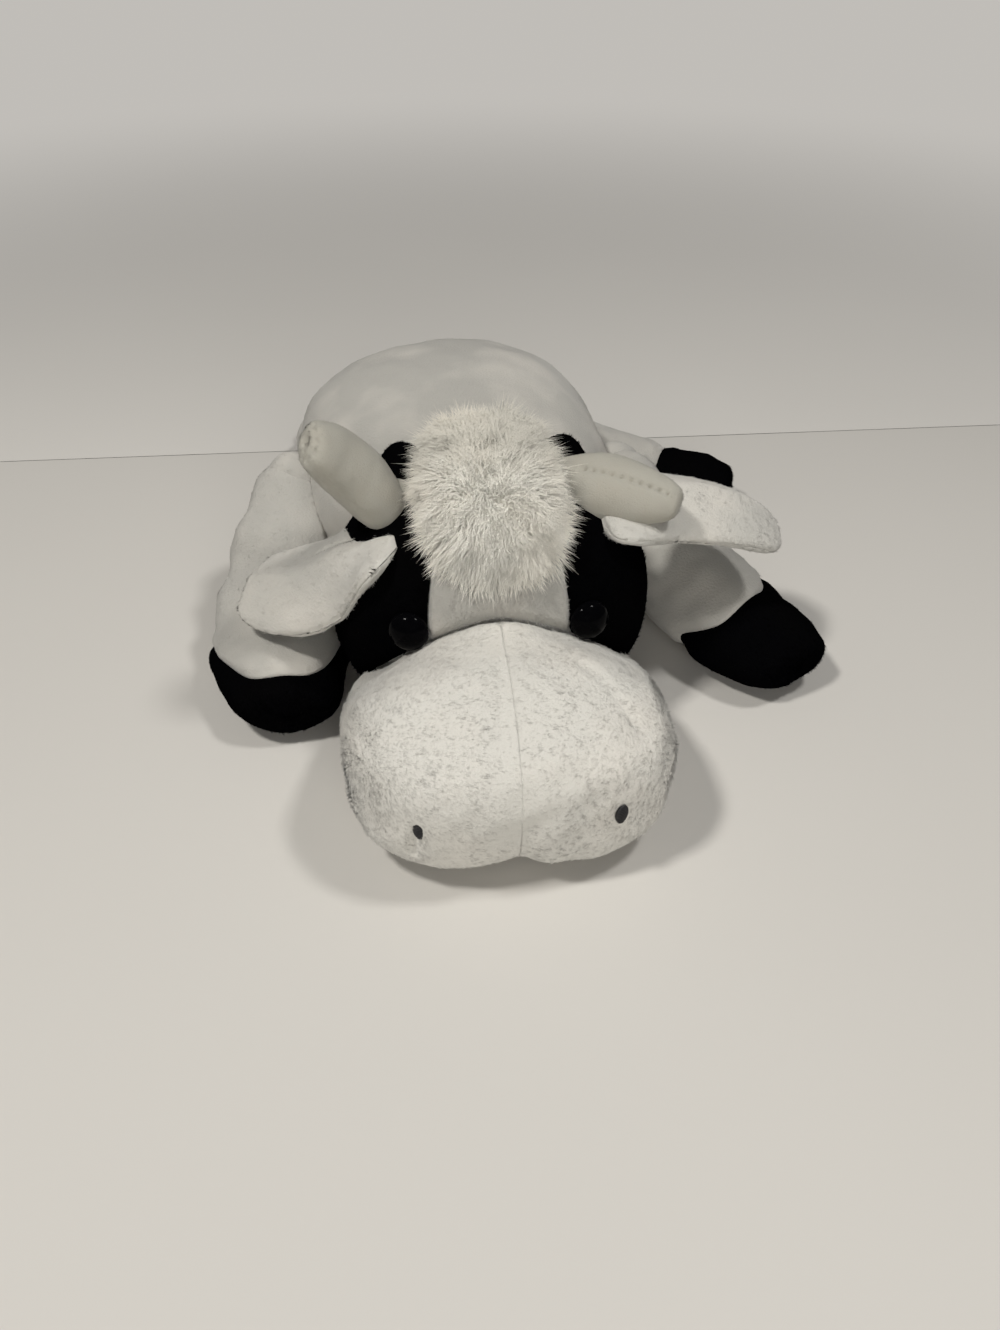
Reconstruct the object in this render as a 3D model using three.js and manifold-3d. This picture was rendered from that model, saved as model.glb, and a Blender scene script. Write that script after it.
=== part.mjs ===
// A stuffed toy cow that lies on its belly with its legs spread, 23 cm from nose to tail.
// Sizes are in millimetres. The cow faces -Y, its left side is +X, and it lies on the plane z = 0.
// Each piece of cloth is a solid of its own round the stuffing, and a seam is a narrow gap.
import * as THREE from "three";
import { mergeVertices } from "three/addons/utils/BufferGeometryUtils.js";
import Module from "manifold-3d";

const wasm = await Module();
wasm.setup();

// Cloth, and the gap between two pieces that touch
const clothThickness = 2;
const gap = 0.3;

// Torso: a pillow pressed flat where it lies, its two covers joined low on the side
const torso = {
  halfWidth: 44.5,
  halfLength: 50,
  centreHeight: 28,
  topRise: 31,
  bottomDrop: 29.5,
  squareness: 2.35,
  seamHeight: 9,
};

// Neck: the round front of the torso that the hollow back of the head rides on
const neck = {
  radius: 25,
  reach: 36,
  height: 31,
  turn: -7,
  lift: 15,
  lift_shares: [0, 0.5, 1],
};

// Head: a rounded cranium, with a broad muzzle that widens to the front
const cranium = {
  halfWidth: 38,
  halfLength: 26,
  reach: 66,
  centreHeight: 30,
  topRise: 30,
  bottomDrop: 28,
  squareness: 2.4,
};
const muzzle = {
  halfWidth: 36,
  halfLength: 32,
  lead: 36,
  centreHeight: 18,
  topRise: 23,
  bottomDrop: 19,
  squareness: 3,
  mouthHeight: 4.5,
  creaseDepth: 1.4,
  creaseHalfWidth: 3.5,
  fall_shares: [-0.3, 0.6],
  fallSharpness: 1.5,
};
const blaze = { noseHalfWidth: 16.5, crownHalfWidth: 11.5, taperLength: 14 };

// Eyes: a domed plastic eye on a ribbed post, with a lock washer behind the cloth
const eye = {
  radius: 4.6,
  domeHeight: 3.4,
  postRadius: 1.3,
  postLength: 7.5,
  ribHeight: 0.4,
  ribCount: 3,
  azimuth: 30.5,
  elevation: 14.5,
};
const washer = { radius: 5, thickness: 1.4, inset: 2, rimHeight: 0.8, rimWidth: 1.2 };

// Nostrils: satin-stitched spots let into the front of the muzzle
const nostril = { halfWidth: 2.2, halfHeight: 2.9, halfDepth: 1.2, azimuth: 31, elevation: 7 };

// Forelock: a pad of long-pile cloth on the crown
const forelock = {
  halfWidth: 15,
  halfLength: 27,
  topRise: 20,
  bottomDrop: 14,
  reach: 67,
  centreHeight: 51,
  squareness: 2.3,
};

// Horns: flattened stuffed cones that bend over at the stitches round their root
const horn = {
  length: 27,
  rootRadius: 6,
  bellyRadius: 8.6,
  tipRadius: 7.2,
  flatness_share: 0.76,
  belly_share: 0.4,
  standoff: 1.4,
  bluntness: 0.45,
  azimuth: 100,
  elevation: 61,
};
const hornPoses = [
  { side: -1, heading: 72, rise: 38, roll: 30, bentHeading: 82, bentRise: 66 },
  { side: 1, heading: 60, rise: -2, roll: 40, bentHeading: 72, bentRise: 38 },
];

// Ears: two leaves of cloth sewn together round the edge
const ear = {
  length: 42,
  halfWidth: 13.5,
  rootHalfWidth: 12.5,
  halfThickness: 3.2,
  edgeHalfThickness: 1.7,
  open_share: 0.45,
  curl: 3,
  parting: 0.5,
  rootRadius: 2.6,
  rootOverhang: 9,
  rightLean: 0.5,
  rightSlide: 10.5,
  rightLift: -2.5,
  leftLean: 9,
  leftSlide: 0.7,
  leftLift: 4,
  standoff: 0.9,
  bluntness: 0.35,
  azimuth: 76,
  elevation: 34,
  hornRoom: 2,
};
const earPoses = [
  {
    side: -1,
    heading: 118,
    rise: -49,
    droop: -63,
    twist: -26,
    swing: 18,
    lean: ear.rightLean,
    slide: ear.rightSlide,
    lift: ear.rightLift,
  },
  {
    side: 1,
    heading: 101.5,
    rise: -6.5,
    droop: 43,
    twist: -4.5,
    swing: 10,
    lean: ear.leftLean,
    slide: ear.leftSlide,
    lift: ear.leftLift,
  },
];

// Legs: bean-filled tubes that swing about an upright line where they are sewn to the torso
const leg = {
  rightForeLength: 67,
  rightForeBow: 4,
  leftForeLength: 81,
  leftForeBow: -2,
  hindLength: 62,
  rootRadius: 10.5,
  standoff: 3,
  neckRadius: 11.5,
  hoofHalfWidth: 17.6,
  hoofHalfHeight: 10.8,
  hoofCentreHeight: 10.3,
  hoofLength: 18,
  swell_share: 0.55,
  sink_share: 0.8,
  bluntness: 0.4,
};
const foreGirth_share = 1;
const hindGirth_share = 0.86;
const legPoses = [
  { name: "right_fore", side: -1, length: leg.rightForeLength, bow: leg.rightForeBow, heading: 8 },
  { name: "left_fore", side: 1, length: leg.leftForeLength, bow: leg.leftForeBow, heading: 17.5 },
  { name: "right_hind", side: -1, length: leg.hindLength, bow: 0, heading: 192 },
  { name: "left_hind", side: 1, length: leg.hindLength, bow: 0, heading: 59 },
];
const legRoots = {
  fore: { azimuth: 78, elevation: -12, least: 8, most: 53 },
  hind: { azimuth: 128, elevation: -22, least: 59, most: 192 },
};

// Tail: a sewn cord that lies behind the cow, with a tuft at its end
const tail = {
  rootRadius: 4.6,
  cordRadius: 3.1,
  length: 36,
  standoff: 1.5,
  elevation: -24,
  lift: 50,
  settle_share: 0.7,
  tuftLength: 20,
  tuftRadius: 6,
  tuftOverlap: 5,
  bluntness: 0.45,
};

// Stuffing: a pouch of plastic beans lies low in the torso
const pouch = { halfWidth: 24, halfLength: 26, halfHeight: 9, centreHeight: 14, setBack: 12 };

// How many facets go round and along each kind of form
const facets = {
  body: [22, 12],
  neck: [16, 9],
  limb: [14, 10],
  small: [10, 7],
};

const white = { color: 0xe9e7e0, roughness: 0.95, metalness: 0 };
const black = { color: 0x0b0b0d, roughness: 0.95, metalness: 0 };
const cream = { color: 0xe0d9c6, roughness: 0.85, metalness: 0 };
const fur = { color: 0xe8e2d2, roughness: 1, metalness: 0 };
const gloss = { color: 0x050507, roughness: 0.08, metalness: 0 };
const clear = { color: 0xd8d8d4, roughness: 0.4, metalness: 0 };
const fibre = { color: 0xf2f0ea, roughness: 1, metalness: 0 };
const thread = { color: 0x2a2a2c, roughness: 0.7, metalness: 0 };
const lining = { color: 0xcfcabd, roughness: 0.9, metalness: 0 };

const { degToRad, lerp, smoothstep } = THREE.MathUtils;
const vec = (x, y, z) => new THREE.Vector3(x, y, z);
const sideWord = (side) => (side < 0 ? "right" : "left");
const farAway = 4 * (cranium.reach + torso.halfLength);

// A closed three.js geometry as a solid that can be cut and joined.
function solidOf(geometry) {
  const bare = new THREE.BufferGeometry();
  bare.setAttribute("position", geometry.getAttribute("position"));
  bare.setIndex(geometry.index);
  const merged = mergeVertices(bare);
  return new wasm.Manifold(
    new wasm.Mesh({
      numProp: 3,
      vertProperties: new Float32Array(merged.attributes.position.array),
      triVerts: new Uint32Array(merged.index.array),
    }),
  );
}

// A solid back as a three.js geometry.
function geometryOf(solid) {
  const mesh = solid.getMesh();
  const geometry = new THREE.BufferGeometry();
  geometry.setAttribute("position", new THREE.BufferAttribute(mesh.vertProperties, 3));
  geometry.setIndex(new THREE.BufferAttribute(mesh.triVerts, 1));
  geometry.computeVertexNormals();
  return geometry;
}

// A closed ball of unit directions, with its poles on the given axis, moved point by point.
function ballMesh([around, along], turn, place) {
  const geometry = new THREE.SphereGeometry(1, around, along);
  turn(geometry);
  const position = geometry.attributes.position;
  const direction = vec(0, 0, 0);
  for (let i = 0; i < position.count; i++) {
    direction.fromBufferAttribute(position, i).normalize();
    const point = place(direction);
    position.setXYZ(i, point.x, point.y, point.z);
  }
  return solidOf(geometry);
}

// A round form: place(direction) gives the surface point in that direction.
function roundForm(count, place) {
  return ballMesh(count, (geometry) => geometry.rotateX(Math.PI / 2), place);
}

// A long form on +X: place(share of the length, y and z on the unit circle, radius share).
function longForm(count, place) {
  return ballMesh(count, (geometry) => geometry.rotateZ(-Math.PI / 2), (d) => {
    const radial = Math.hypot(d.y, d.z);
    const scale = radial > Number.EPSILON ** 0.5 ? 1 / radial : 0;
    return place((1 + d.x) / 2, d.y * scale, d.z * scale, radial);
  });
}

function ball(centre, radius, count) {
  return roundForm(count, (d) => d.clone().multiplyScalar(radius).add(centre));
}

// The hollow that a ball of that radius turns in: even the middles of its facets clear the ball.
function socket(centre, radius, [around, along]) {
  const inside = Math.cos(Math.PI / around) * Math.cos(Math.PI / along / 2);
  return ball(centre, (radius + gap) / inside, [around, along]);
}

// A block between two corners.
function block(low, high) {
  const size = vec(0, 0, 0).subVectors(high, low);
  const geometry = new THREE.BoxGeometry(size.x, size.y, size.z);
  geometry.translate(low.x + size.x / 2, low.y + size.y / 2, low.z + size.z / 2);
  return solidOf(geometry);
}

// Everything above or below a height.
const above = (height) => block(vec(-farAway, -farAway, height), vec(farAway, farAway, farAway));
const below = (height) => block(vec(-farAway, -farAway, -farAway), vec(farAway, farAway, height));
const together = (solids) => solids.reduce((a, b) => a.add(b));

// Moves a solid whose own axis is +X or +Z to a point, with that axis along a direction.
function aim(solid, from, point, direction) {
  const turn = new THREE.Quaternion().setFromUnitVectors(from, direction);
  const matrix = new THREE.Matrix4().compose(point, turn, vec(1, 1, 1));
  return solid.transform(matrix.elements);
}

// A direction by its angle from straight ahead towards one side, and by its angle of rise.
function directionOf(side, azimuth, elevation) {
  const a = degToRad(azimuth);
  const e = degToRad(elevation);
  return vec(side * Math.sin(a) * Math.cos(e), -Math.cos(a) * Math.cos(e), Math.sin(e));
}

// A pillow: an ellipsoid with swollen sides, whose upper and lower halves differ in depth.
function pillowPoint(form, centre, d, grow = 0) {
  const n = form.squareness;
  const s = (Math.abs(d.x) ** n + Math.abs(d.y) ** n + Math.abs(d.z) ** n) ** (-1 / n);
  const depth = d.z > 0 ? form.topRise : form.bottomDrop;
  return vec(
    centre.x + (form.halfWidth + grow) * d.x * s,
    centre.y + (form.halfLength + grow) * d.y * s,
    Math.max(centre.z + (depth + grow) * d.z * s, -grow),
  );
}

function pillowNormal(form, d) {
  const depth = d.z > 0 ? form.topRise : form.bottomDrop;
  const slope = (share, half) => (Math.sign(share) * Math.abs(share) ** (form.squareness - 1)) / half;
  return vec(slope(d.x, form.halfWidth), slope(d.y, form.halfLength), slope(d.z, depth)).normalize();
}

const torsoCentre = vec(0, 0, torso.centreHeight);
const neckCentre = vec(0, -neck.reach, neck.height);
const craniumCentre = vec(0, -cranium.reach, cranium.centreHeight);
const muzzleCentre = vec(0, -cranium.reach - muzzle.lead, muzzle.centreHeight);

function torsoForm(grow) {
  const pillow = roundForm(facets.body, (d) => pillowPoint(torso, torsoCentre, d, grow));
  return pillow.add(ball(neckCentre, neck.radius + grow, facets.neck));
}

// The muzzle is drawn in along its middle seam, and its top falls away to the sides at the face.
function muzzlePoint(d, grow) {
  const point = pillowPoint(muzzle, muzzleCentre, d, grow);
  const crease = muzzle.creaseDepth * Math.exp(-((point.x / muzzle.creaseHalfWidth) ** 2));
  const nearFace = smoothstep(d.y, ...muzzle.fall_shares);
  const fall = 1 - nearFace * Math.abs(point.x / muzzle.halfWidth) ** muzzle.fallSharpness;
  if (d.z > 0) point.z = muzzle.centreHeight + (point.z - muzzle.centreHeight) * fall;
  point.y -= crease * d.y;
  point.z -= crease * Math.max(d.z, 0);
  return point;
}

const craniumForm = (grow) =>
  roundForm(facets.body, (d) => pillowPoint(cranium, craniumCentre, d, grow));
const muzzleForm = (grow) => roundForm(facets.body, (d) => muzzlePoint(d, grow));
const headForm = (grow) => craniumForm(grow).add(muzzleForm(grow));

const torsoHollows = [];
const headHollows = [];
const pieces = [];

function keep(name, solid, look) {
  pieces.push({ name, solid, look });
}

// The head is built straight ahead of the torso, and then turned a little on the neck.
function turnOnNeck(solid, turn) {
  return solid
    .translate([0, neck.reach, 0])
    .rotate([0, 0, turn])
    .translate([0, -neck.reach, 0]);
}

function keepOnHead(name, solid, look) {
  keep(name, turnOnNeck(solid, neck.turn), look);
}

// Legs. Each is cut back so that it clears the torso at both ends of its swing.
for (const pose of legPoses) {
  const isFore = pose.name.endsWith("fore");
  const fitting = isFore ? legRoots.fore : legRoots.hind;
  const d = directionOf(pose.side, fitting.azimuth, fitting.elevation);
  const seat = pillowPoint(torso, torsoCentre, d);
  const pivot = seat.addScaledVector(pillowNormal(torso, d), leg.standoff);
  const girth = (radius) => radius * (isFore ? foreGirth_share : hindGirth_share);
  const lineAt = (share) =>
    vec(share * pose.length, pose.side * pose.bow * Math.sin(Math.PI * share), 0);
  const tube = longForm(facets.limb, (share, y, z, radial) => {
    const swell = smoothstep(share, 0, leg.swell_share);
    const blunt = radial ** leg.bluntness;
    const width = girth(lerp(leg.neckRadius, leg.hoofHalfWidth, swell)) * blunt;
    const height = girth(lerp(leg.neckRadius, leg.hoofHalfHeight, swell)) * blunt;
    const settle = smoothstep(share, 0, leg.sink_share);
    const sink = (pivot.z - girth(leg.hoofCentreHeight)) * settle;
    return lineAt(share).add(vec(0, y * width, Math.max(z * height - sink, gap - pivot.z)));
  });
  const turnOf = (heading) => (pose.side > 0 ? heading - 90 : -90 - heading);
  const torsoAt = (heading) =>
    torsoForm(gap)
      .translate([-pivot.x, -pivot.y, -pivot.z])
      .rotate([0, 0, -turnOf(heading)]);
  const rootRadius = girth(leg.rootRadius);
  const whole = tube
    .subtract(torsoAt(fitting.least))
    .subtract(torsoAt(fitting.most))
    .add(ball(vec(0, 0, 0), rootRadius, facets.limb));
  const seamShare = 1 - leg.hoofLength / pose.length;
  const seam = lineAt(seamShare);
  const slope = Math.atan2(
    pose.side * pose.bow * Math.PI * Math.cos(Math.PI * seamShare),
    pose.length,
  );
  const toeSide = (from) =>
    block(vec(from, -farAway, -farAway), vec(farAway, farAway, farAway))
      .rotate([0, 0, THREE.MathUtils.radToDeg(slope)])
      .translate([seam.x, seam.y, 0]);
  const place = (solid) =>
    solid.rotate([0, 0, turnOf(pose.heading)]).translate([pivot.x, pivot.y, pivot.z]);
  keep(pose.name + "_leg", place(whole.subtract(toeSide(0))), white);
  keep(pose.name + "_hoof", place(whole.intersect(toeSide(gap))), black);
  torsoHollows.push(socket(pivot, rootRadius, facets.limb));
}

// Tail
const tailDirection = directionOf(1, 180, tail.elevation);
const tailPivot = pillowPoint(torso, torsoCentre, tailDirection).addScaledVector(
  pillowNormal(torso, tailDirection),
  tail.standoff,
);
const tailDrop = tailPivot.z - tail.cordRadius;
const tailCord = (grow) =>
  longForm(facets.small, (share, y, z, radial) => {
    const radius = (tail.cordRadius + grow) * radial ** tail.bluntness;
    const drop = tailDrop * smoothstep(share, 0, tail.settle_share);
    return vec(-y * radius, share * tail.length + (2 * share - 1) * grow, z * radius - drop);
  });
const tailTuft = longForm(facets.small, (share, y, z, radial) => {
  const radius = tail.tuftRadius * radial * Math.sqrt(lerp(2, 1, share) / 2);
  const along = tail.length - tail.tuftOverlap + share * tail.tuftLength;
  return vec(-y * radius, along, Math.max(z * radius, -tail.cordRadius) - tailDrop);
});
const torsoFromTail = torsoForm(gap).translate([0, -tailPivot.y, -tailPivot.z]);
const placeTail = (solid) => solid.translate([0, tailPivot.y, tailPivot.z]);
keep(
  "tail_cord",
  placeTail(
    tailCord(0)
      .subtract(torsoFromTail)
      .subtract(torsoFromTail.rotate([-tail.lift, 0, 0]))
      .add(ball(vec(0, 0, 0), tail.rootRadius, facets.small)),
  ),
  white,
);
keep("tail_tuft", placeTail(tailTuft.subtract(tailCord(gap))), fur);
torsoHollows.push(socket(tailPivot, tail.rootRadius, facets.small));

// Eyes and their washers, turned on +Z and then set on the face
function turned(outline) {
  const geometry = new THREE.LatheGeometry(outline, facets.small[0]);
  return solidOf(geometry.rotateX(Math.PI / 2));
}

const ribPitch = eye.postLength / (eye.ribCount + 1);
const ribTop = (rib) => ribPitch * (rib + 1) - eye.postLength;
const eyeOutline = [
  new THREE.Vector2(0, -eye.postLength),
  new THREE.Vector2(eye.postRadius, -eye.postLength),
];
for (let rib = 0; rib < eye.ribCount; rib++) {
  eyeOutline.push(
    new THREE.Vector2(eye.postRadius, ribTop(rib) - ribPitch / 2),
    new THREE.Vector2(eye.postRadius + eye.ribHeight, ribTop(rib)),
    new THREE.Vector2(eye.postRadius, ribTop(rib)),
  );
}
eyeOutline.push(new THREE.Vector2(eye.postRadius, 0));
const domeSteps = facets.small[1] / 2;
for (let step = 0; step < domeSteps; step++) {
  const angle = ((step / domeSteps) * Math.PI) / 2;
  eyeOutline.push(new THREE.Vector2(eye.radius * Math.cos(angle), eye.domeHeight * Math.sin(angle)));
}
eyeOutline.push(new THREE.Vector2(0, eye.domeHeight));

const boreRadius = eye.postRadius + eye.ribHeight + gap;
const washerTop = -clothThickness - washer.inset;
const washerBottom = washerTop - washer.thickness;
const washerOutline = [
  new THREE.Vector2(boreRadius, washerBottom),
  new THREE.Vector2(washer.radius - washer.rimWidth, washerBottom),
  new THREE.Vector2(washer.radius - washer.rimWidth, washerBottom - washer.rimHeight),
  new THREE.Vector2(washer.radius, washerBottom - washer.rimHeight),
  new THREE.Vector2(washer.radius, washerTop),
  new THREE.Vector2(boreRadius, washerTop),
  new THREE.Vector2(boreRadius, washerBottom),
];
const pocketOutline = (radius, depth, rise) => [
  new THREE.Vector2(0, -depth),
  new THREE.Vector2(radius, -depth),
  new THREE.Vector2(radius, rise),
  new THREE.Vector2(0, rise),
];
const postHoles = [];
const washerPockets = [];
const eyeGuards = [];
const upward = vec(0, 0, 1);
for (const side of [-1, 1]) {
  const d = directionOf(side, eye.azimuth, eye.elevation);
  const normal = pillowNormal(cranium, d);
  const seat = pillowPoint(cranium, craniumCentre, d).addScaledVector(normal, gap);
  const set = (outline) => aim(turned(outline), upward, seat, normal);
  keepOnHead(sideWord(side) + "_eye", set(eyeOutline), gloss);
  keepOnHead(sideWord(side) + "_eye_washer", set(washerOutline), clear);
  postHoles.push(set(pocketOutline(boreRadius, eye.postLength + gap, eye.domeHeight)));
  washerPockets.push(
    set(pocketOutline(washer.radius + gap, washer.rimHeight + gap - washerBottom, 0)),
  );
  eyeGuards.push(
    set(pocketOutline(eye.radius + gap, eye.postLength + gap, eye.domeHeight + gap)),
  );
}

// Nostrils
const nostrilHollows = [];
for (const side of [-1, 1]) {
  const d = directionOf(side, nostril.azimuth, nostril.elevation);
  const spot = (grow) =>
    aim(
      roundForm(facets.small, (p) =>
        vec(
          (nostril.halfHeight + grow) * p.x,
          (nostril.halfWidth + grow) * p.y,
          (nostril.halfDepth + grow) * p.z,
        ),
      ).rotate([0, 0, 90]),
      upward,
      muzzlePoint(d, 0),
      pillowNormal(muzzle, d),
    );
  keepOnHead(sideWord(side) + "_nostril", spot(0), thread);
  nostrilHollows.push(spot(gap));
}

// A point just off the head where a horn or an ear is sewn on.
function headPivot(side, fitting) {
  const d = directionOf(side, fitting.azimuth, fitting.elevation);
  const seat = pillowPoint(cranium, craniumCentre, d);
  return seat.addScaledVector(pillowNormal(cranium, d), fitting.standoff);
}

// Swings a solid about a line through a pivot.
function swing(solid, pivot, axis, angle) {
  const turn = new THREE.Matrix4().makeRotationAxis(axis, angle);
  return solid
    .translate([-pivot.x, -pivot.y, -pivot.z])
    .transform(turn.elements)
    .translate([pivot.x, pivot.y, pivot.z]);
}

// Horns. Each is cut back so that it clears the head at rest and bent over.
const hornGuards = [];
for (const pose of hornPoses) {
  const pivot = headPivot(pose.side, horn);
  const rest = directionOf(pose.side, pose.heading, pose.rise);
  const bent = directionOf(pose.side, pose.bentHeading, pose.bentRise);
  const axis = vec(0, 0, 0).crossVectors(rest, bent).normalize();
  const angle = rest.angleTo(bent);
  const cone = (grow) => {
    const form = longForm(facets.limb, (share, y, z, radial) => {
      const toBelly = smoothstep(share, 0, horn.belly_share);
      const toTip = smoothstep(share, horn.belly_share, 1);
      const full = lerp(lerp(horn.rootRadius, horn.bellyRadius, toBelly), horn.tipRadius, toTip);
      const radius = full * radial ** horn.bluntness + grow;
      const along = share * (horn.length + horn.rootRadius) - horn.rootRadius;
      return vec(along + (2 * share - 1) * grow, y * radius, z * radius * horn.flatness_share);
    });
    return aim(form.rotate([pose.roll, 0, 0]), vec(1, 0, 0), pivot, rest);
  };
  const hollow = socket(pivot, horn.rootRadius, facets.small);
  const whole = cone(0)
    .subtract(headForm(gap))
    .subtract(swing(headForm(gap), pivot, axis, -angle))
    .add(ball(pivot, horn.rootRadius, facets.small));
  keepOnHead(sideWord(pose.side) + "_horn", whole, cream);
  headHollows.push(hollow);
  const guardAt = (part) => swing(cone(gap), pivot, axis, part);
  hornGuards.push({
    side: pose.side,
    forEar: cone(ear.hornRoom),
    whole: together([guardAt(0), guardAt(angle / 2), guardAt(angle)]),
  });
}

// Ears: each ply droops along its length and curls across its width
function earPly(pose, face) {
  const rise = degToRad(pose.rise);
  const droop = degToRad(pose.droop);
  const twist = degToRad(-pose.side * pose.twist);
  return longForm(facets.limb, (share, y, z, radial) => {
    const bend = rise - droop * share ** 2;
    const chord = rise - (droop * share ** 2) / 3;
    const along = share * (ear.length + ear.rootOverhang) - ear.rootOverhang - pose.slide;
    const opening = smoothstep(share, 0, ear.open_share);
    const blunt = radial ** ear.bluntness;
    const across = y * lerp(ear.rootHalfWidth, ear.halfWidth, opening) * blunt;
    const puff = lerp(ear.halfThickness, ear.edgeHalfThickness, Math.abs(y)) * blunt;
    const sag = ear.curl * opening * (across / ear.halfWidth) ** 2;
    const leaf = face * (ear.parting / 2 + puff * Math.sqrt(Math.max(z * face, 0)));
    const out = pose.lift + leaf - sag;
    const lean = pose.side * pose.lean * opening;
    const sideways = across * Math.cos(twist * opening) - out * Math.sin(twist * opening);
    const up = across * Math.sin(twist * opening) + out * Math.cos(twist * opening);
    return vec(
      along * Math.cos(chord) - up * Math.sin(bend),
      sideways + lean,
      along * Math.sin(chord) + up * Math.cos(bend),
    );
  });
}

for (const pose of earPoses) {
  const pivot = headPivot(pose.side, ear);
  const turn = pose.side > 0 ? pose.heading - 90 : -90 - pose.heading;
  const axis = directionOf(pose.side, pose.heading - 90, 0);
  const root = ball(pivot, ear.rootRadius, facets.small);
  const hollow = socket(pivot, ear.rootRadius, facets.small);
  const hornGuard = hornGuards.find((guard) => guard.side === pose.side);
  const stops = headForm(gap).add(hornGuard.forEar);
  const stopsSwung = swing(stops, pivot, axis, -pose.side * degToRad(pose.swing));
  const set = (face) =>
    earPly(pose, face)
      .rotate([0, 0, turn])
      .translate([pivot.x, pivot.y, pivot.z])
      .subtract(stops)
      .subtract(stopsSwung);
  const rootFace = Math.sign(-pose.lift);
  for (const [ply, face] of Object.entries({ back: 1, lining: -1 })) {
    const leaf = face === rootFace ? set(face).add(root) : set(face).subtract(hollow);
    keepOnHead(`${sideWord(pose.side)}_ear_${ply}`, leaf, white);
  }
  headHollows.push(hollow);
}

// Torso covers, and what they hold
const shellOf = (form) => form(0).subtract(form(-clothThickness));
const torsoCuts = together(torsoHollows);
const torsoShell = shellOf(torsoForm).subtract(torsoCuts);
keep("back_cover", torsoShell.intersect(above(torso.seamHeight + gap)), white);
keep("belly_cover", torsoShell.intersect(below(torso.seamHeight)), white);
const pouchForm = (grow) =>
  roundForm(facets.limb, (d) =>
    vec(
      (pouch.halfWidth + grow) * d.x,
      pouch.setBack + (pouch.halfLength + grow) * d.y,
      pouch.centreHeight + (pouch.halfHeight + grow) * d.z,
    ),
  );
const pouchSlit = block(
  vec(-gap, pouch.setBack, 0),
  vec(gap, pouch.setBack + gap, pouch.centreHeight),
);
keep("bean_pouch", pouchForm(0), lining);
keep(
  "torso_stuffing",
  torsoForm(-clothThickness - gap)
    .subtract(torsoCuts)
    .subtract(pouchForm(gap))
    .subtract(pouchSlit),
  fibre,
);

// Head covers and stuffing, hollowed at the back so that the head can be lifted on the neck
const lifted = (solid, share) =>
  solid
    .translate([0, neck.reach, -neck.height])
    .rotate([share * neck.lift, 0, 0])
    .translate([0, -neck.reach, neck.height]);
const neckBody = turnOnNeck(torsoForm(gap), -neck.turn);
const neckHollow = together(neck.lift_shares.map((share) => lifted(neckBody, share)));
const headCuts = together([neckHollow, ...headHollows]);
const headShell = shellOf(headForm).subtract(headCuts);
const faceShell = headShell.intersect(craniumForm(0)).intersect(above(muzzle.mouthHeight + gap));
const noseShell = headShell.subtract(craniumForm(gap)).intersect(above(muzzle.mouthHeight + gap));

// The strip between the eyes narrows from the muzzle seam up to the crown.
function blazeStrip(grow) {
  const nose = -cranium.reach - cranium.halfLength;
  const strip = new THREE.Shape([
    new THREE.Vector2(-blaze.noseHalfWidth - grow, nose),
    new THREE.Vector2(blaze.noseHalfWidth + grow, nose),
    new THREE.Vector2(blaze.crownHalfWidth + grow, nose + blaze.taperLength),
    new THREE.Vector2(blaze.crownHalfWidth + grow, 0),
    new THREE.Vector2(-blaze.crownHalfWidth - grow, 0),
    new THREE.Vector2(-blaze.crownHalfWidth - grow, nose + blaze.taperLength),
  ]);
  const prism = new THREE.ExtrudeGeometry(strip, { depth: farAway, bevelEnabled: false });
  return solidOf(prism).translate([0, 0, cranium.centreHeight - grow]);
}

keepOnHead("head_blaze", faceShell.intersect(blazeStrip(0)), white);
const patches = faceShell.subtract(blazeStrip(gap)).subtract(together(postHoles));
for (const side of [-1, 1]) {
  const half = block(
    vec(side < 0 ? -farAway : gap / 2, -farAway, -farAway),
    vec(side < 0 ? -gap / 2 : farAway, farAway, farAway),
  );
  keepOnHead(sideWord(side) + "_face_patch", patches.intersect(half), black);
}
keepOnHead(
  "muzzle_cover",
  noseShell.subtract(together([...nostrilHollows, ...eyeGuards])),
  white,
);
keepOnHead("chin_cover", headShell.intersect(below(muzzle.mouthHeight)), white);
keepOnHead(
  "head_stuffing",
  headForm(-clothThickness - gap)
    .subtract(headCuts)
    .subtract(together([...postHoles, ...washerPockets])),
  fibre,
);

// Forelock, hollowed underneath to sit on the crown and between the horns
const tuft = roundForm(facets.limb, (d) =>
  pillowPoint(forelock, vec(0, -forelock.reach, forelock.centreHeight), d),
);
keepOnHead(
  "forelock",
  tuft
    .subtract(headForm(gap))
    .subtract(neckHollow)
    .subtract(together([...headHollows, ...hornGuards.map((guard) => guard.whole)])),
  fur,
);

const cow = new THREE.Group();
for (const { name, solid, look } of pieces) {
  const mesh = new THREE.Mesh(geometryOf(solid), new THREE.MeshStandardMaterial(look));
  mesh.name = name;
  cow.add(mesh);
}

export default cow;
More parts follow.
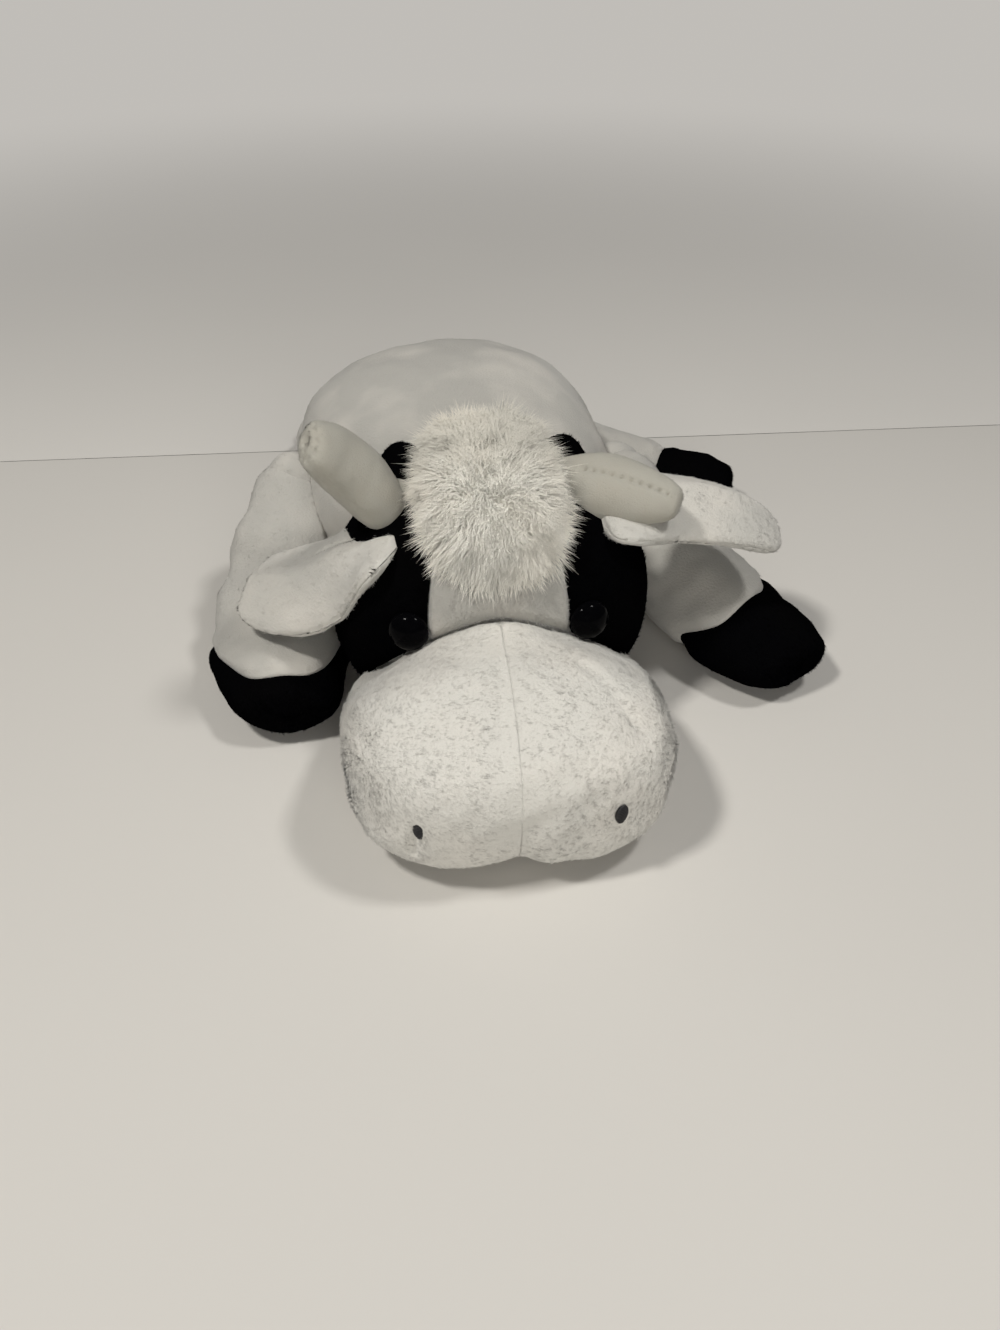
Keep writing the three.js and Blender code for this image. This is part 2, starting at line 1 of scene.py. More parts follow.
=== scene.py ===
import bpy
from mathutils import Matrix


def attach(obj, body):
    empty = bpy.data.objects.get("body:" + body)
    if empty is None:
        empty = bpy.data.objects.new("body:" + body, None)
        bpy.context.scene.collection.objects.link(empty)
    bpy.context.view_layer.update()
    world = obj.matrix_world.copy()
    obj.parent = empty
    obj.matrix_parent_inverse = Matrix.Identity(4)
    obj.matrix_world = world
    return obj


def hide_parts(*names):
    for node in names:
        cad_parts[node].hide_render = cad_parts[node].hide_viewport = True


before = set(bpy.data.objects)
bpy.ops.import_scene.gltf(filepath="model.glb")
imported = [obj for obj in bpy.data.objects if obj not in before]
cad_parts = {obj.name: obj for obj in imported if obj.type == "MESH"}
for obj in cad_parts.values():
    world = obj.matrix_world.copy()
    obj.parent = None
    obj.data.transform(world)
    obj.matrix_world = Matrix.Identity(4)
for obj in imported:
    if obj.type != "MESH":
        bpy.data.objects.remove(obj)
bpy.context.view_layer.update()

import math

import bpy
import numpy as np

# Camera. It stands close in front of the toy and looks down at it, from a little to the toy's
# right, so that the muzzle is large and the body shortens behind it.
camera_place = (-0.0457, -0.2593, 0.173)
camera_tilt, camera_turn = math.radians(50), math.radians(-13)


def new_object(name, data):
    """An object at the origin, linked to the scene."""
    made = bpy.data.objects.new(name, data)
    bpy.context.scene.collection.objects.link(made)
    return made


camera = new_object("camera", bpy.data.cameras.new("camera"))
camera.location = camera_place
camera.rotation_euler = (camera_tilt, 0, camera_turn)
camera.data.sensor_fit = "HORIZONTAL"
camera.data.sensor_width = camera.data.lens = 36
camera.data.clip_start = 0.01
bpy.context.scene.camera = camera
bpy.context.scene.view_settings.view_transform = "Standard"

# Room. A matt pale table top that meets a matt pale backdrop at a straight line behind the toy,
# with a slow change of tone and a faint grain, and a dark strip along the line that is painted
# shade where they meet. Both lie flat, so that no side of the toy is hidden.
table_size = 3.0
line_start, line_end = np.array([-0.147, 0.0908]), np.array([0.216, 0.0363])
line_width = 0.0007
backdrop_drop = 0.0004
table_colour, table_far = (0.63, 0.61, 0.575), (0.54, 0.52, 0.49)
backdrop_colour, backdrop_far = (0.69, 0.67, 0.635), (0.53, 0.51, 0.48)
line_shade_colour = (0.16, 0.15, 0.14)
lamp_target = np.array([0, -0.03, 0.02])
world_on_toy, world_seen = 0.08, 0.5


def add_nodes(tree, *kinds):
    """New shader nodes in a tree, each by the end of its type's name."""
    return [tree.nodes.new(f"ShaderNode{kind}") for kind in kinds]


def set_inputs(node, **values):
    """Sets a node's sockets. A blank in a socket's name is written as _."""
    for socket, value in values.items():
        node.inputs[socket.replace("_", " ")].default_value = value


def new_material(name, **sockets):
    """A material with a Principled shader, and the values that are the same all over it."""
    made = bpy.data.materials.new(name)
    made.use_nodes = True
    shader = made.node_tree.nodes["Principled BSDF"]
    set_inputs(shader, **sockets)
    return made, made.node_tree, shader


def noise_on(tree, scale, detail=2, stretch=(1, 1, 1)):
    """Noise on the object's own coordinates, which are multiplied by scale * stretch."""
    where, mapping, noise = add_nodes(tree, "TexCoord", "Mapping", "TexNoise")
    set_inputs(mapping, Scale=[scale * share for share in stretch])
    set_inputs(noise, Scale=1, Detail=detail)
    tree.links.new(where.outputs["Object"], mapping.inputs["Vector"])
    tree.links.new(mapping.outputs["Vector"], noise.inputs["Vector"])
    return noise.outputs["Fac"]


def colour_by(tree, shader, share, low, high):
    """A base colour that goes from low to high with a share."""
    (mix,) = add_nodes(tree, "Mix")
    mix.data_type = "RGBA"
    set_inputs(mix, A=(*low, 1), B=(*high, 1))
    tree.links.new(share, mix.inputs["Factor"])
    tree.links.new(mix.outputs["Result"], shader.inputs["Base Color"])


def bump_by(tree, shader, height, strength, depth):
    """A bump by a pattern of heights, whose full depth is in metres."""
    (bump,) = add_nodes(tree, "Bump")
    set_inputs(bump, Strength=strength, Distance=depth)
    tree.links.new(height, bump.inputs["Height"])
    tree.links.new(bump.outputs["Normal"], shader.inputs["Normal"])


def room_material(name, colour, roughness):
    """Matt paint: a slow change of tone and a fine grain on one colour."""
    made, tree, shader = new_material(name, Roughness=roughness, Specular_IOR_Level=0.25)
    darker, lighter = ([share * part for part in colour] for share in (0.96, 1.04))
    colour_by(tree, shader, noise_on(tree, 5), darker, lighter)
    bump_by(tree, shader, noise_on(tree, 700, 3), 0.05, 0.0002)
    return made


def lit_far(material, colour, near, far):
    """Shows the camera an even tone far from the toy, where the lamps no longer reach: the share
    of that tone goes smoothly from 0 at `near` to 1 at `far` metres from the toy."""
    tree = material.node_tree
    tone, seen, blend = add_nodes(tree, "Emission", "LightPath", "MixShader")
    where, away, fade, share = add_nodes(tree, "TexCoord", "VectorMath", "MapRange", "Math")
    away.operation, share.operation = "LENGTH", "MULTIPLY"
    fade.interpolation_type = "SMOOTHSTEP"
    set_inputs(tone, Color=(*colour, 1))
    set_inputs(fade, From_Min=near, From_Max=far)
    for output, target in (
        (where.outputs["Object"], away.inputs[0]),
        (away.outputs["Value"], fade.inputs["Value"]),
        (fade.outputs["Result"], share.inputs[0]),
        (seen.outputs["Is Camera Ray"], share.inputs[1]),
        (share.outputs["Value"], blend.inputs["Fac"]),
        (tree.nodes["Principled BSDF"].outputs["BSDF"], blend.inputs[1]),
        (tone.outputs["Emission"], blend.inputs[2]),
        (blend.outputs["Shader"], tree.nodes["Material Output"].inputs["Surface"]),
    ):
        tree.links.new(output, target)


line_way = (line_end - line_start) / np.linalg.norm(line_end - line_start)
line_back = np.array([-line_way[1], line_way[0]])


def flat_sheet(name, near, far, height, material):
    """A flat sheet between two distances from the line, which are above 0 behind it."""
    middle = (line_start + line_end) / 2
    left, right = middle - line_way * table_size, middle + line_way * table_size
    ends = ((left, near), (right, near), (right, far), (left, far))
    corners = [(*(end + line_back * away), height) for end, away in ends]
    mesh = bpy.data.meshes.new(name)
    mesh.from_pydata(corners, [], [(0, 1, 2, 3)])
    mesh.materials.append(material)
    new_object(name, mesh)


table_paint = room_material("table_paint", table_colour, 0.75)
lit_far(table_paint, table_far, 0.28, 0.9)
flat_sheet("table_top", -table_size, 0, 0, table_paint)
# The dark strip along the line is painted shade where the table meets the backdrop.
gap_shade = room_material("gap_shade", line_shade_colour, 0.9)
flat_sheet("painted_shade_line", -line_width, 2 * line_width, -backdrop_drop, gap_shade)
backdrop_paint = room_material("backdrop_paint", backdrop_colour, 0.8)
lit_far(backdrop_paint, backdrop_far, 0.12, 0.7)
flat_sheet("backdrop", line_width, table_size, -backdrop_drop / 2, backdrop_paint)


def soft_lamp(name, place, size, power, colour, glints=True):
    """A square lamp that faces the toy. One without glints doesn't show in glossy plastic."""
    lamp = new_object(name, bpy.data.lights.new(name, "AREA"))
    lamp.data.size, lamp.data.energy, lamp.data.color = size, power, colour
    lamp.location = place
    way = lamp_target - np.array(place)
    tilt = math.acos(-way[2] / np.linalg.norm(way))
    lamp.rotation_euler = (tilt, 0, math.atan2(way[1], way[0]) - math.pi / 2)
    lamp.visible_glossy = glints


soft_lamp("key_lamp", (-0.34, -0.18, 0.66), 0.08, 2.8, (1, 0.975, 0.93))
soft_lamp("side_lamp", (0.30, -0.18, 0.68), 0.09, 1.75, (1, 0.985, 0.96))
soft_lamp("front_lamp", (-0.03, -0.60, 0.22), 0.25, 1.05, (1, 0.98, 0.94), False)
world = bpy.data.worlds.new("room_light")
world.use_nodes = True
seen, strength = add_nodes(world.node_tree, "LightPath", "MapRange")
background = world.node_tree.nodes["Background"]
set_inputs(strength, To_Min=world_on_toy, To_Max=world_seen)
set_inputs(background, Color=(0.98, 0.975, 0.965, 1))
world.node_tree.links.new(seen.outputs["Is Camera Ray"], strength.inputs["Value"])
world.node_tree.links.new(strength.outputs["Result"], background.inputs["Strength"])
bpy.context.scene.world = world

# Torso. Two covers of short-pile plush joined by a seam low on the side: a domed back panel, and
# a flat belly panel that it lies on. Inside are fibre stuffing and a pouch of plastic beans.
# Sizes are in millimetres. A tone of 0 is the deep colour of the pile, which is painted shade
# deep in the nap, and 1 that of its tips.
millimetre = 0.001
cloth_thickness = 2.0
covering_gap = 0.3
torso = {"centre": (0, 0, 28), "halves": (44.5, 50), "rise": 31, "drop": 29.5, "squareness": 2.35}
torso_seam_height = 9
neck_centre, neck_radius = np.array([0, -36.0, 31]), 25.0
# The body, legs and tail are painted at a low tone: painted shade, as they get less light than the
# head.
cloth_tone, shaded_body_tone = 0.75, 0.1
pile_from = 1.2
stuffing_depth = 3.4
pouch_centre, pouch_halves = np.array([0, 12.0, 14.0]), np.array([24.0, 26.0, 9.0])


def smooth(value, low, high):
    """0 below low, 1 above high, and a smooth S between them: t * t * (3 - 2t)."""
    share = np.clip((value - low) / (high - low), 0, 1)
    return share * share * (3 - 2 * share)


def unit(vectors):
    """Each vector divided by its length."""
    return vectors / np.maximum(np.linalg.norm(vectors, axis=-1, keepdims=True), 1e-9)


def lerp(low, high, share):
    """A value that goes evenly from low to high as the share goes from 0 to 1."""
    return low + (high - low) * share


def xyz(x, y, z):
    """Points from three coordinates, each of which may be the same along rows or columns."""
    return np.stack(np.broadcast_arrays(x, y, z), axis=-1)


def bell(distance, width):
    """1 at a distance of 0, and fading to nothing: exp(-(distance / width)^2)."""
    return np.exp(-((distance / width) ** 2))


def round_angles(count):
    """Angles spread evenly once round."""
    return np.linspace(0, 2 * np.pi, count, endpoint=False)


def ring_ways(side, other, count, start=0.0):
    """Directions round a line: cos(angle) * side + sin(angle) * other."""
    turn = (round_angles(count) + start)[:, None]
    return np.cos(turn) * side + np.sin(turn) * other


def ripple(points, size, seed, waves=9):
    """A random swell between about -1 and 1: the sum of sine waves about `size` long, each in
    its own random direction, over a number that keeps the sum small."""
    draw = np.random.default_rng(seed)
    ways = unit(draw.normal(size=(waves, 3)))
    ways = ways * (2 * np.pi / size) * draw.uniform(0.7, 1.4, (waves, 1))
    starts = draw.uniform(0, 2 * np.pi, waves)
    return np.sin(points @ ways.T + starts).sum(-1) / math.sqrt(2 * waves)


def ripple_way(points, size, seed):
    """A random swell in each of the three directions."""
    return np.stack([ripple(points, size, seed + part) for part in range(3)], axis=-1)


def pillow_halves(form, height):
    """A pillow's half sizes. The third is its rise above its centre, and its drop below."""
    return xyz(*form["halves"], np.where(height > 0, form["rise"], form["drop"]))


def pillow_point(form, way, grow=0.0):
    """Pillow: centre + half size * way * s, where s = (|x|^n + |y|^n + |z|^n)^(-1/n)."""
    n = form["squareness"]
    scale = (np.abs(way) ** n).sum(-1) ** (-1 / n)
    halves = pillow_halves(form, way[..., 2]) + grow
    points = np.array(form["centre"]) + halves * way * scale[..., None]
    points[..., 2] = np.maximum(points[..., 2], -grow)
    return points


def pillow_normal(form, way):
    """The slope of |x/a|^n + |y/b|^n + |z/c|^n, made one long."""
    slope = np.sign(way) * np.abs(way) ** (form["squareness"] - 1)
    return unit(slope / pillow_halves(form, way[2]))


def pillow_seat(form, way, standoff):
    """A place just above a pillow in a direction, and the normal there."""
    normal = pillow_normal(form, way)
    return pillow_point(form, way[None])[0] + normal * standoff, normal


def pillow_sum(form, away, grow):
    """|x/a|^n + |y/b|^n + |z/c|^n of points given from the centre: 1 on the pillow."""
    halves = pillow_halves(form, away[..., 2]) + grow
    return (np.abs(away / halves) ** form["squareness"]).sum(-1)


def pillow_room(form, points, grow=0.0):
    """How far outside a pillow points lie, below 0 inside: sum^(1/n) - 1, in about millimetres."""
    total = pillow_sum(form, points - np.array(form["centre"]), grow)
    return (total ** (1 / form["squareness"]) - 1) * form["halves"][0]


def torso_room(points, grow=0.0):
    """How far outside the torso and its neck ball points lie."""
    ball = np.linalg.norm(points - neck_centre, axis=-1) - neck_radius - grow
    return np.minimum(pillow_room(torso, points, grow), ball)


def torso_point(way, grow=0.0):
    """From the torso's middle along a direction: the further of the pillow and the neck ball."""
    reach = pillow_sum(torso, way, grow) ** (-1 / torso["squareness"])
    to_neck = neck_centre - np.array(torso["centre"])
    along = way @ to_neck
    inside = along**2 - to_neck @ to_neck + (neck_radius + grow) ** 2
    ball = np.where(inside > 0, along + np.sqrt(np.maximum(inside, 0)), 0)
    points = np.array(torso["centre"]) + way * np.maximum(reach, ball)[..., None]
    points[..., 2] = np.maximum(points[..., 2], -grow)
    return points


def panel(place, pole, allowed, rings, spokes):
    """A panel of a round form, as rings from its middle out to its border. Direction = the pole
    tilted by ring share * border angle towards each spoke, and the border angle is the first one
    at which allowed(point) falls below 0."""
    pole = unit(np.array(pole, float))
    side = unit(np.cross(pole, (0.29, 0.17, 0.94) if abs(pole[2]) < 0.8 else (0.94, 0.29, 0.17)))
    across = ring_ways(side, np.cross(pole, side), spokes)

    def way(tilt):
        return np.cos(tilt)[..., None] * pole + np.sin(tilt)[..., None] * across

    tilts = np.linspace(0, 0.98 * np.pi, 420)[:, None] * np.ones(spokes)
    value = allowed(place(way(tilts)))
    first = np.maximum(np.argmax(value < 0, axis=0), 1)
    spoke = np.arange(spokes)
    inner, outer = value[first - 1, spoke], value[first, spoke]
    part = np.clip(inner / np.maximum(inner - outer, 1e-9), 0, 1)
    border = tilts[first - 1, spoke] + (tilts[1, 0] - tilts[0, 0]) * part
    return place(way(np.linspace(0, 1, rings + 1)[:, None] * border))


def grid_normals(grid):
    """The way down the rows times the way round the columns, which close on themselves."""
    down = np.gradient(grid, axis=0)
    around = np.roll(grid, -1, axis=1) - np.roll(grid, 1, axis=1)
    normals = unit(np.cross(down, around))
    for end, inner in ((0, 1), (-1, -2)):
        if np.ptp(grid[end], axis=0).max() < 1e-6:
            normals[end] = unit(normals[inner].mean(axis=0))
    return normals


def sunk(grid, depth):
    """A grid sunk along its normals, but not below the table, and its new normals."""
    grid = grid - grid_normals(grid) * depth[..., None]
    grid[..., 2] = np.maximum(grid[..., 2], 0)
    return grid, grid_normals(grid)


def covered(place, pole, allowed, rings, spokes, seam=1.3, spread=2.4, shape=None):
    """A cloth panel pulled in at its seams: it sinks by seam * bell(distance from its border
    along the spoke, spread), and by whatever shape(points) gives."""
    grid = panel(place, pole, allowed, rings, spokes)
    steps = np.linalg.norm(np.diff(grid, axis=0), axis=-1)
    from_border = np.concatenate([np.cumsum(steps[::-1], axis=0)[::-1], np.zeros((1, spokes))])
    depth = seam * bell(from_border, spread)
    return sunk(grid, depth if shape is None else depth + shape(grid))


def skin(grid, tone=cloth_tone):
    """The closed surface of a grid whose first and last rows are single points. Returns points,
    three- and four-sided faces, and a tone for each point."""
    rows, columns = grid.shape[:2]
    index = np.arange(rows * columns).reshape(rows, columns)
    index[0], index[-1] = index[0, 0], index[-1, 0]
    after = np.roll(index, -1, axis=1)
    first_cap = np.stack([index[0], index[1], after[1]], axis=-1)
    last_cap = np.stack([index[-2], index[-1], after[-2]], axis=-1)
    body = np.stack([index[1:-2], index[2:-1], after[2:-1], after[1:-2]], axis=-1)
    tones = np.broadcast_to(tone, (rows, columns)).reshape(-1)
    return grid.reshape(-1, 3), [first_cap, last_cap, body.reshape(-1, 4)], tones


def lined(outer, normals, thickness=cloth_thickness):
    """A panel with a thickness: its rings, and then the same rings from the border back to the
    middle, set in along the normals."""
    return np.concatenate([outer, (outer - normals * thickness)[::-1]])


def cell_areas(grid):
    """The area of each cell, in square millimetres: two of its sides multiplied across."""
    after = np.roll(grid, -1, axis=1)
    return np.linalg.norm(np.cross(grid[1:] - grid[:-1], after[:-1] - grid[:-1]), axis=-1)


def scatter(grid, normals, count, draw, keep=None):
    """Random places on a grid, as many in each cell as its area calls for, and their normals."""
    area = cell_areas(grid) * (1 if keep is None else keep[:-1])
    total = np.cumsum(area.reshape(-1))
    cell = np.searchsorted(total, draw.uniform(0, total[-1], count))
    row, column = np.divmod(np.minimum(cell, area.size - 1), grid.shape[1])
    down, across = draw.uniform(size=(2, count, 1))

    def between(values):
        after = np.roll(values, -1, axis=1)
        near = lerp(values[row, column], values[row + 1, column], down)
        far = lerp(after[row, column], after[row + 1, column], down)
        return lerp(near, far, across)

    return between(grid), unit(between(normals))


def hairs(roots, ways, bends, lengths, radii, steps, draw, up, flatness, tone_range):
    """Slim closed spikes with three sides. The middle of a spike at a share t of its length is
    root + length * (way * t + bend * t * t), and its radius falls evenly to the tip. They are
    flattened across the upward direction, as brushed pile is, and shaded by it, so that they
    catch the light as one soft nap."""
    side = unit(np.cross(ways, up + 0.01))
    other = np.cross(ways, side) * flatness
    ring = ring_ways(side[:, None], other[:, None], 3, -np.pi / 2)
    shares = np.arange(steps + 1) / steps
    middles = [roots + lengths[:, None] * (ways * t + bends * t**2) for t in shares]
    rows = [
        middle[:, None] + ring * (radii * (1 - t))[:, None, None]
        for middle, t in zip(middles[:-1], shares)
    ]
    points = np.concatenate([*rows, middles[-1][:, None]], axis=1)
    pattern = [(0, 2, 1)]
    for step in range(steps):
        low, high = 3 * step, 3 * (step + 1)
        for corner in range(3):
            after = (corner + 1) % 3
            if step == steps - 1:
                pattern.append((low + corner, low + after, high))
            else:
                pattern.append((low + corner, low + after, high + after))
                pattern.append((low + corner, high + after, high + corner))
    starts = np.arange(len(roots)) * points.shape[1]
    faces = np.array(pattern)[None] + starts[:, None, None]
    along = np.repeat(shares, [3] * steps + [1])
    low, high, own = tone_range
    # The tone rises from root to tip: painted shade deep in the nap, plus a random tone on each
    # spike.
    tones = lerp(low, high, along) + draw.uniform(-own, own, (len(roots), 1))
    shading = np.repeat(up, points.shape[1], axis=0)
    return points.reshape(-1, 3), [faces.reshape(-1, 3)], np.clip(tones, 0, 1).reshape(-1), shading


def pile(grid, normals, flow, seed, density, length=1.1, radius=0.2, lean=2.2, clump=2.2,
         tuft=0.35, tone=cloth_tone, keep=None):
    """Short pile: spikes that lean along a flow, `density` to the square millimetre, in clumps
    of about the given width. The way of a spike is normal + lean * flow + tuft * clump swell + a
    little chance, and it grows only where the grid's `keep` is true."""
    draw = np.random.default_rng(seed)
    roots, up = scatter(grid, normals, int(cell_areas(grid).sum() * density), draw, keep)
    drift = flow(roots)
    drift = drift - up * (drift * up).sum(-1, keepdims=True)
    chance = 0.25 * draw.normal(size=roots.shape)
    ways = unit(up + lean * drift + tuft * ripple_way(roots, clump, seed) + chance)
    lengths = length * draw.uniform(0.75, 1.25, len(roots))
    lengths = lengths * (1 + 0.2 * ripple(roots, clump, seed))
    radii = radius * draw.uniform(0.7, 1.2, len(roots))
    bends = 0.25 * drift - 0.2 * up
    # Roots are painted darker than tips: painted shade in the nap.
    tones = (tone - 0.08, tone + 0.1, 0.06)
    return hairs(roots - up * 0.25, ways, bends, lengths, radii, 1, draw, up, 0.35, tones)


def make_piece(name, node, body, material, parts):
    """One mesh object from closed parts in millimetres, which stands for a CAD node."""
    points, tones, shading, triangles, quads = [], [], [], [], []
    start = 0
    for part_points, part_faces, part_tones, *part_shading in parts:
        points.append(part_points)
        tones.append(part_tones)
        shading.append(part_shading[0] if part_shading else np.zeros(part_points.shape))
        for faces in part_faces:
            (triangles if faces.shape[-1] == 3 else quads).append(faces + start)
        start += len(part_points)
    points = np.concatenate(points)
    points[:, 2] = np.maximum(points[:, 2], 0)
    faces = [np.concatenate(group) for group in (triangles, quads) if group]
    corners = np.concatenate([group.reshape(-1) for group in faces])
    used, places = np.unique(corners, return_inverse=True)
    sizes = np.concatenate([np.full(len(group), group.shape[-1]) for group in faces])
    mesh = bpy.data.meshes.new(name)
    mesh.vertices.add(len(used))
    mesh.vertices.foreach_set("co", (points[used] * millimetre).reshape(-1))
    mesh.loops.add(len(places))
    mesh.loops.foreach_set("vertex_index", places.astype(np.int32))
    mesh.polygons.add(len(sizes))
    mesh.polygons.foreach_set("loop_start", (np.cumsum(sizes) - sizes).astype(np.int32))
    mesh.update(calc_edges=True)
    mesh.polygons.foreach_set("use_smooth", np.ones(len(sizes), bool))
    tone = mesh.attributes.new("tone", "FLOAT", "POINT")
    tone.data.foreach_set("value", np.concatenate(tones)[used].astype(np.float32))
    mesh.materials.append(material)
    mesh.validate()
    mesh.normals_split_custom_set_from_vertices(np.concatenate(shading)[used].astype(np.float32))
    piece = new_object(name, mesh)
    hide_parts(node)
    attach(piece, body)


def pile_tone_group():
    """Node group: a colour between two by the pile's own tone attribute, which carries painted
    shade as well as a random tone, with a slow warm mottling over it, and a fine grain for a bump."""
    group = bpy.data.node_groups.new("pile_tone", "ShaderNodeTree")
    for socket, kind, way in (
        ("Deep", "NodeSocketColor", "INPUT"),
        ("Tip", "NodeSocketColor", "INPUT"),
        ("Warm", "NodeSocketColor", "INPUT"),
        ("Mottle Scale", "NodeSocketFloat", "INPUT"),
        ("Grain Scale", "NodeSocketFloat", "INPUT"),
        ("Color", "NodeSocketColor", "OUTPUT"),
        ("Grain", "NodeSocketFloat", "OUTPUT"),
    ):
        group.interface.new_socket(socket, in_out=way, socket_type=kind)
    given, result = group.nodes.new("NodeGroupInput"), group.nodes.new("NodeGroupOutput")
    tone, where, warmth = add_nodes(group, "Attribute", "TexCoord", "MapRange")
    mottle, grain = add_nodes(group, "TexNoise", "TexNoise")
    by_tone, by_place = add_nodes(group, "Mix", "Mix")
    by_tone.data_type = by_place.data_type = "RGBA"
    tone.attribute_name = "tone"
    set_inputs(mottle, Detail=3)
    set_inputs(grain, Detail=4)
    set_inputs(warmth, From_Min=0.45, From_Max=0.7, To_Max=0.5)
    for output, target in (
        (where.outputs["Object"], mottle.inputs["Vector"]),
        (where.outputs["Object"], grain.inputs["Vector"]),
        (given.outputs["Mottle Scale"], mottle.inputs["Scale"]),
        (given.outputs["Grain Scale"], grain.inputs["Scale"]),
        (tone.outputs["Fac"], by_tone.inputs["Factor"]),
        (given.outputs["Deep"], by_tone.inputs["A"]),
        (given.outputs["Tip"], by_tone.inputs["B"]),
        (mottle.outputs["Fac"], warmth.inputs["Value"]),
        (warmth.outputs["Result"], by_place.inputs["Factor"]),
        (by_tone.outputs["Result"], by_place.inputs["A"]),
        (given.outputs["Warm"], by_place.inputs["B"]),
        (by_place.outputs["Result"], result.inputs["Color"]),
        (grain.outputs["Fac"], result.inputs["Grain"]),
    ):
        group.links.new(output, target)
    return group


pile_tone = pile_tone_group()


def cloth_material(name, deep_shade, tip, warm, mottle, grain, depth, **sockets):
    """Napped cloth: colour by depth in the pile, which is painted shade, and a fine bump of fibres.
    """
    made, tree, shader = new_material(name, **sockets)
    (tone,) = add_nodes(tree, "Group")
    tone.node_tree = pile_tone
    set_inputs(tone, Deep=(*deep_shade, 1), Tip=(*tip, 1), Warm=(*warm, 1))
    set_inputs(tone, Mottle_Scale=mottle, Grain_Scale=grain)
    bump_by(tree, shader, tone.outputs["Grain"], 0.6, depth)
    tree.links.new(tone.outputs["Color"], shader.inputs["Base Color"])
    return made


white_plush = cloth_material(
    "white_plush", (0.40, 0.388, 0.357), (0.80, 0.783, 0.725), (0.72, 0.68, 0.615),
    mottle=45, grain=1600, depth=0.0004,
    Roughness=0.9, Specular_IOR_Level=0.2, Sheen_Weight=0.25, Sheen_Roughness=0.6,
)


def backward(spread, fall):
    """Nap that lies towards the tail: (x / spread, 1, -fall), made one long."""

    def flow(points):
        return unit(xyz(points[:, 0] / spread, 1.0, -fall))

    return flow


def straight(way):
    """Nap that lies the same way everywhere."""
    return lambda points: np.broadcast_to(way, points.shape)


def body_folds(points):
    """Slack cloth over stuffing: slow swells and small dimples."""
    return 0.9 * ripple(points, 46, 11) + 0.3 * ripple(points, 15, 12)


body_nap = backward(60, 0.3)
for cover, pole, allowed, rings, spokes, nap in (
    ("back", (0, 0.12, 1), lambda points: points[..., 2] - torso_seam_height - covering_gap,
     44, 150, {"seed": 21, "density": 3.6, "clump": 2.6}),
    ("belly", (0, 0, -1), lambda points: torso_seam_height - points[..., 2],
     30, 140, {"seed": 22, "density": 1.6}),
):
    grid, normals = covered(torso_point, pole, allowed, rings, spokes, shape=body_folds)
    off_table = grid[..., 2] > pile_from
    fur = pile(grid, normals, body_nap, keep=off_table, tone=shaded_body_tone, **nap)
    parts = [skin(lined(grid, normals), shaded_body_tone), fur]
    piece, node = f"{cover}_plush", f"{cover}_cover"
    make_piece(piece, node, "torso", white_plush, parts)

fibre_stuffing = cloth_material(
    "fibre_stuffing", (0.72, 0.71, 0.68), (0.86, 0.85, 0.82), (0.8, 0.78, 0.74),
    mottle=120, grain=2600, depth=0.0012, Roughness=1.0, Sheen_Weight=0.3,
)
pouch_cloth = cloth_material(
    "pouch_cloth", (0.5, 0.48, 0.42), (0.66, 0.64, 0.58), (0.58, 0.55, 0.48),
    mottle=80, grain=3200, depth=0.0003, Roughness=0.9,
)


def tube_angles(rows, columns):
    """For a closed tube: angles from end to end, shares of its length = (1 - cos(angle)) / 2,
    and angles round it."""
    tilt = np.linspace(0, np.pi, rows)[:, None]
    return tilt, (1 - np.cos(tilt)) / 2, round_angles(columns)[None]


def round_grid(place, rows, columns):
    """A whole round form between two poles on its upright line."""
    tilt, _, turn = tube_angles(rows, columns)
    return place(xyz(np.sin(tilt) * np.cos(turn), np.sin(tilt) * np.sin(turn), np.cos(tilt)))


def pouch_grid(grow, rows, columns):
    """The bean pouch: an oval low in the torso."""
    return round_grid(lambda way: pouch_centre + way * (pouch_halves + grow), rows, columns)


def lumpy(grid, size, depth, seed):
    """Tufts or beans that show through as small swells."""
    return grid + grid_normals(grid) * (depth * ripple(grid, size, seed, 16))[..., None]


stuffing = lumpy(round_grid(lambda way: torso_point(way, -stuffing_depth), 60, 120), 9, 0.6, 31)
parts = [skin(stuffing), skin(pouch_grid(1.0, 24, 48)[:, ::-1])]
make_piece(
    "torso_fibre", "torso_stuffing", "torso", fibre_stuffing, parts
)
parts = [skin(lumpy(pouch_grid(-0.5, 60, 120), 4.2, 0.5, 32))]
make_piece("bean_bag", "bean_pouch", "torso", pouch_cloth, parts)

# Legs. Four white plush tubes sewn to the sides of the torso, each with a black plush hoof panel
# sewn round its end. They are lightly filled, so they spread flat where they lie.
leg = {"root_ball": 8.82, "standoff": 3, "neck": 11.5, "half_width": 17.6, "half_height": 10.8,
       "centre_height": 10.3, "columns": 96, "pile_from": 0.8, "fill": 0.45}
fore = {"girth": 1.0, "root": (78, -12), "swing": (8, 53)}
hind = {"girth": 0.86, "root": (128, -22), "swing": (59, 192), "length": 62, "bow": 0,
        "short_top": 0, "slant": 0}
legs = {
    "right_fore": {**fore, "side": -1, "length": 67, "bow": 4, "heading": 8, "hoof": 26,
                   "short_top": 21, "slant": 0, "shoulder": 14},
    "left_fore": {**fore, "side": 1, "length": 81, "bow": -2, "heading": 17.5, "hoof": 24,
                  "short_top": 10, "slant": 9, "shoulder": 6},
    "right_hind": {**hind, "side": -1, "heading": 195, "hoof": 20, "shoulder": 0},
    "left_hind": {**hind, "side": 1, "heading": 59, "hoof": 23, "shoulder": 3},
}
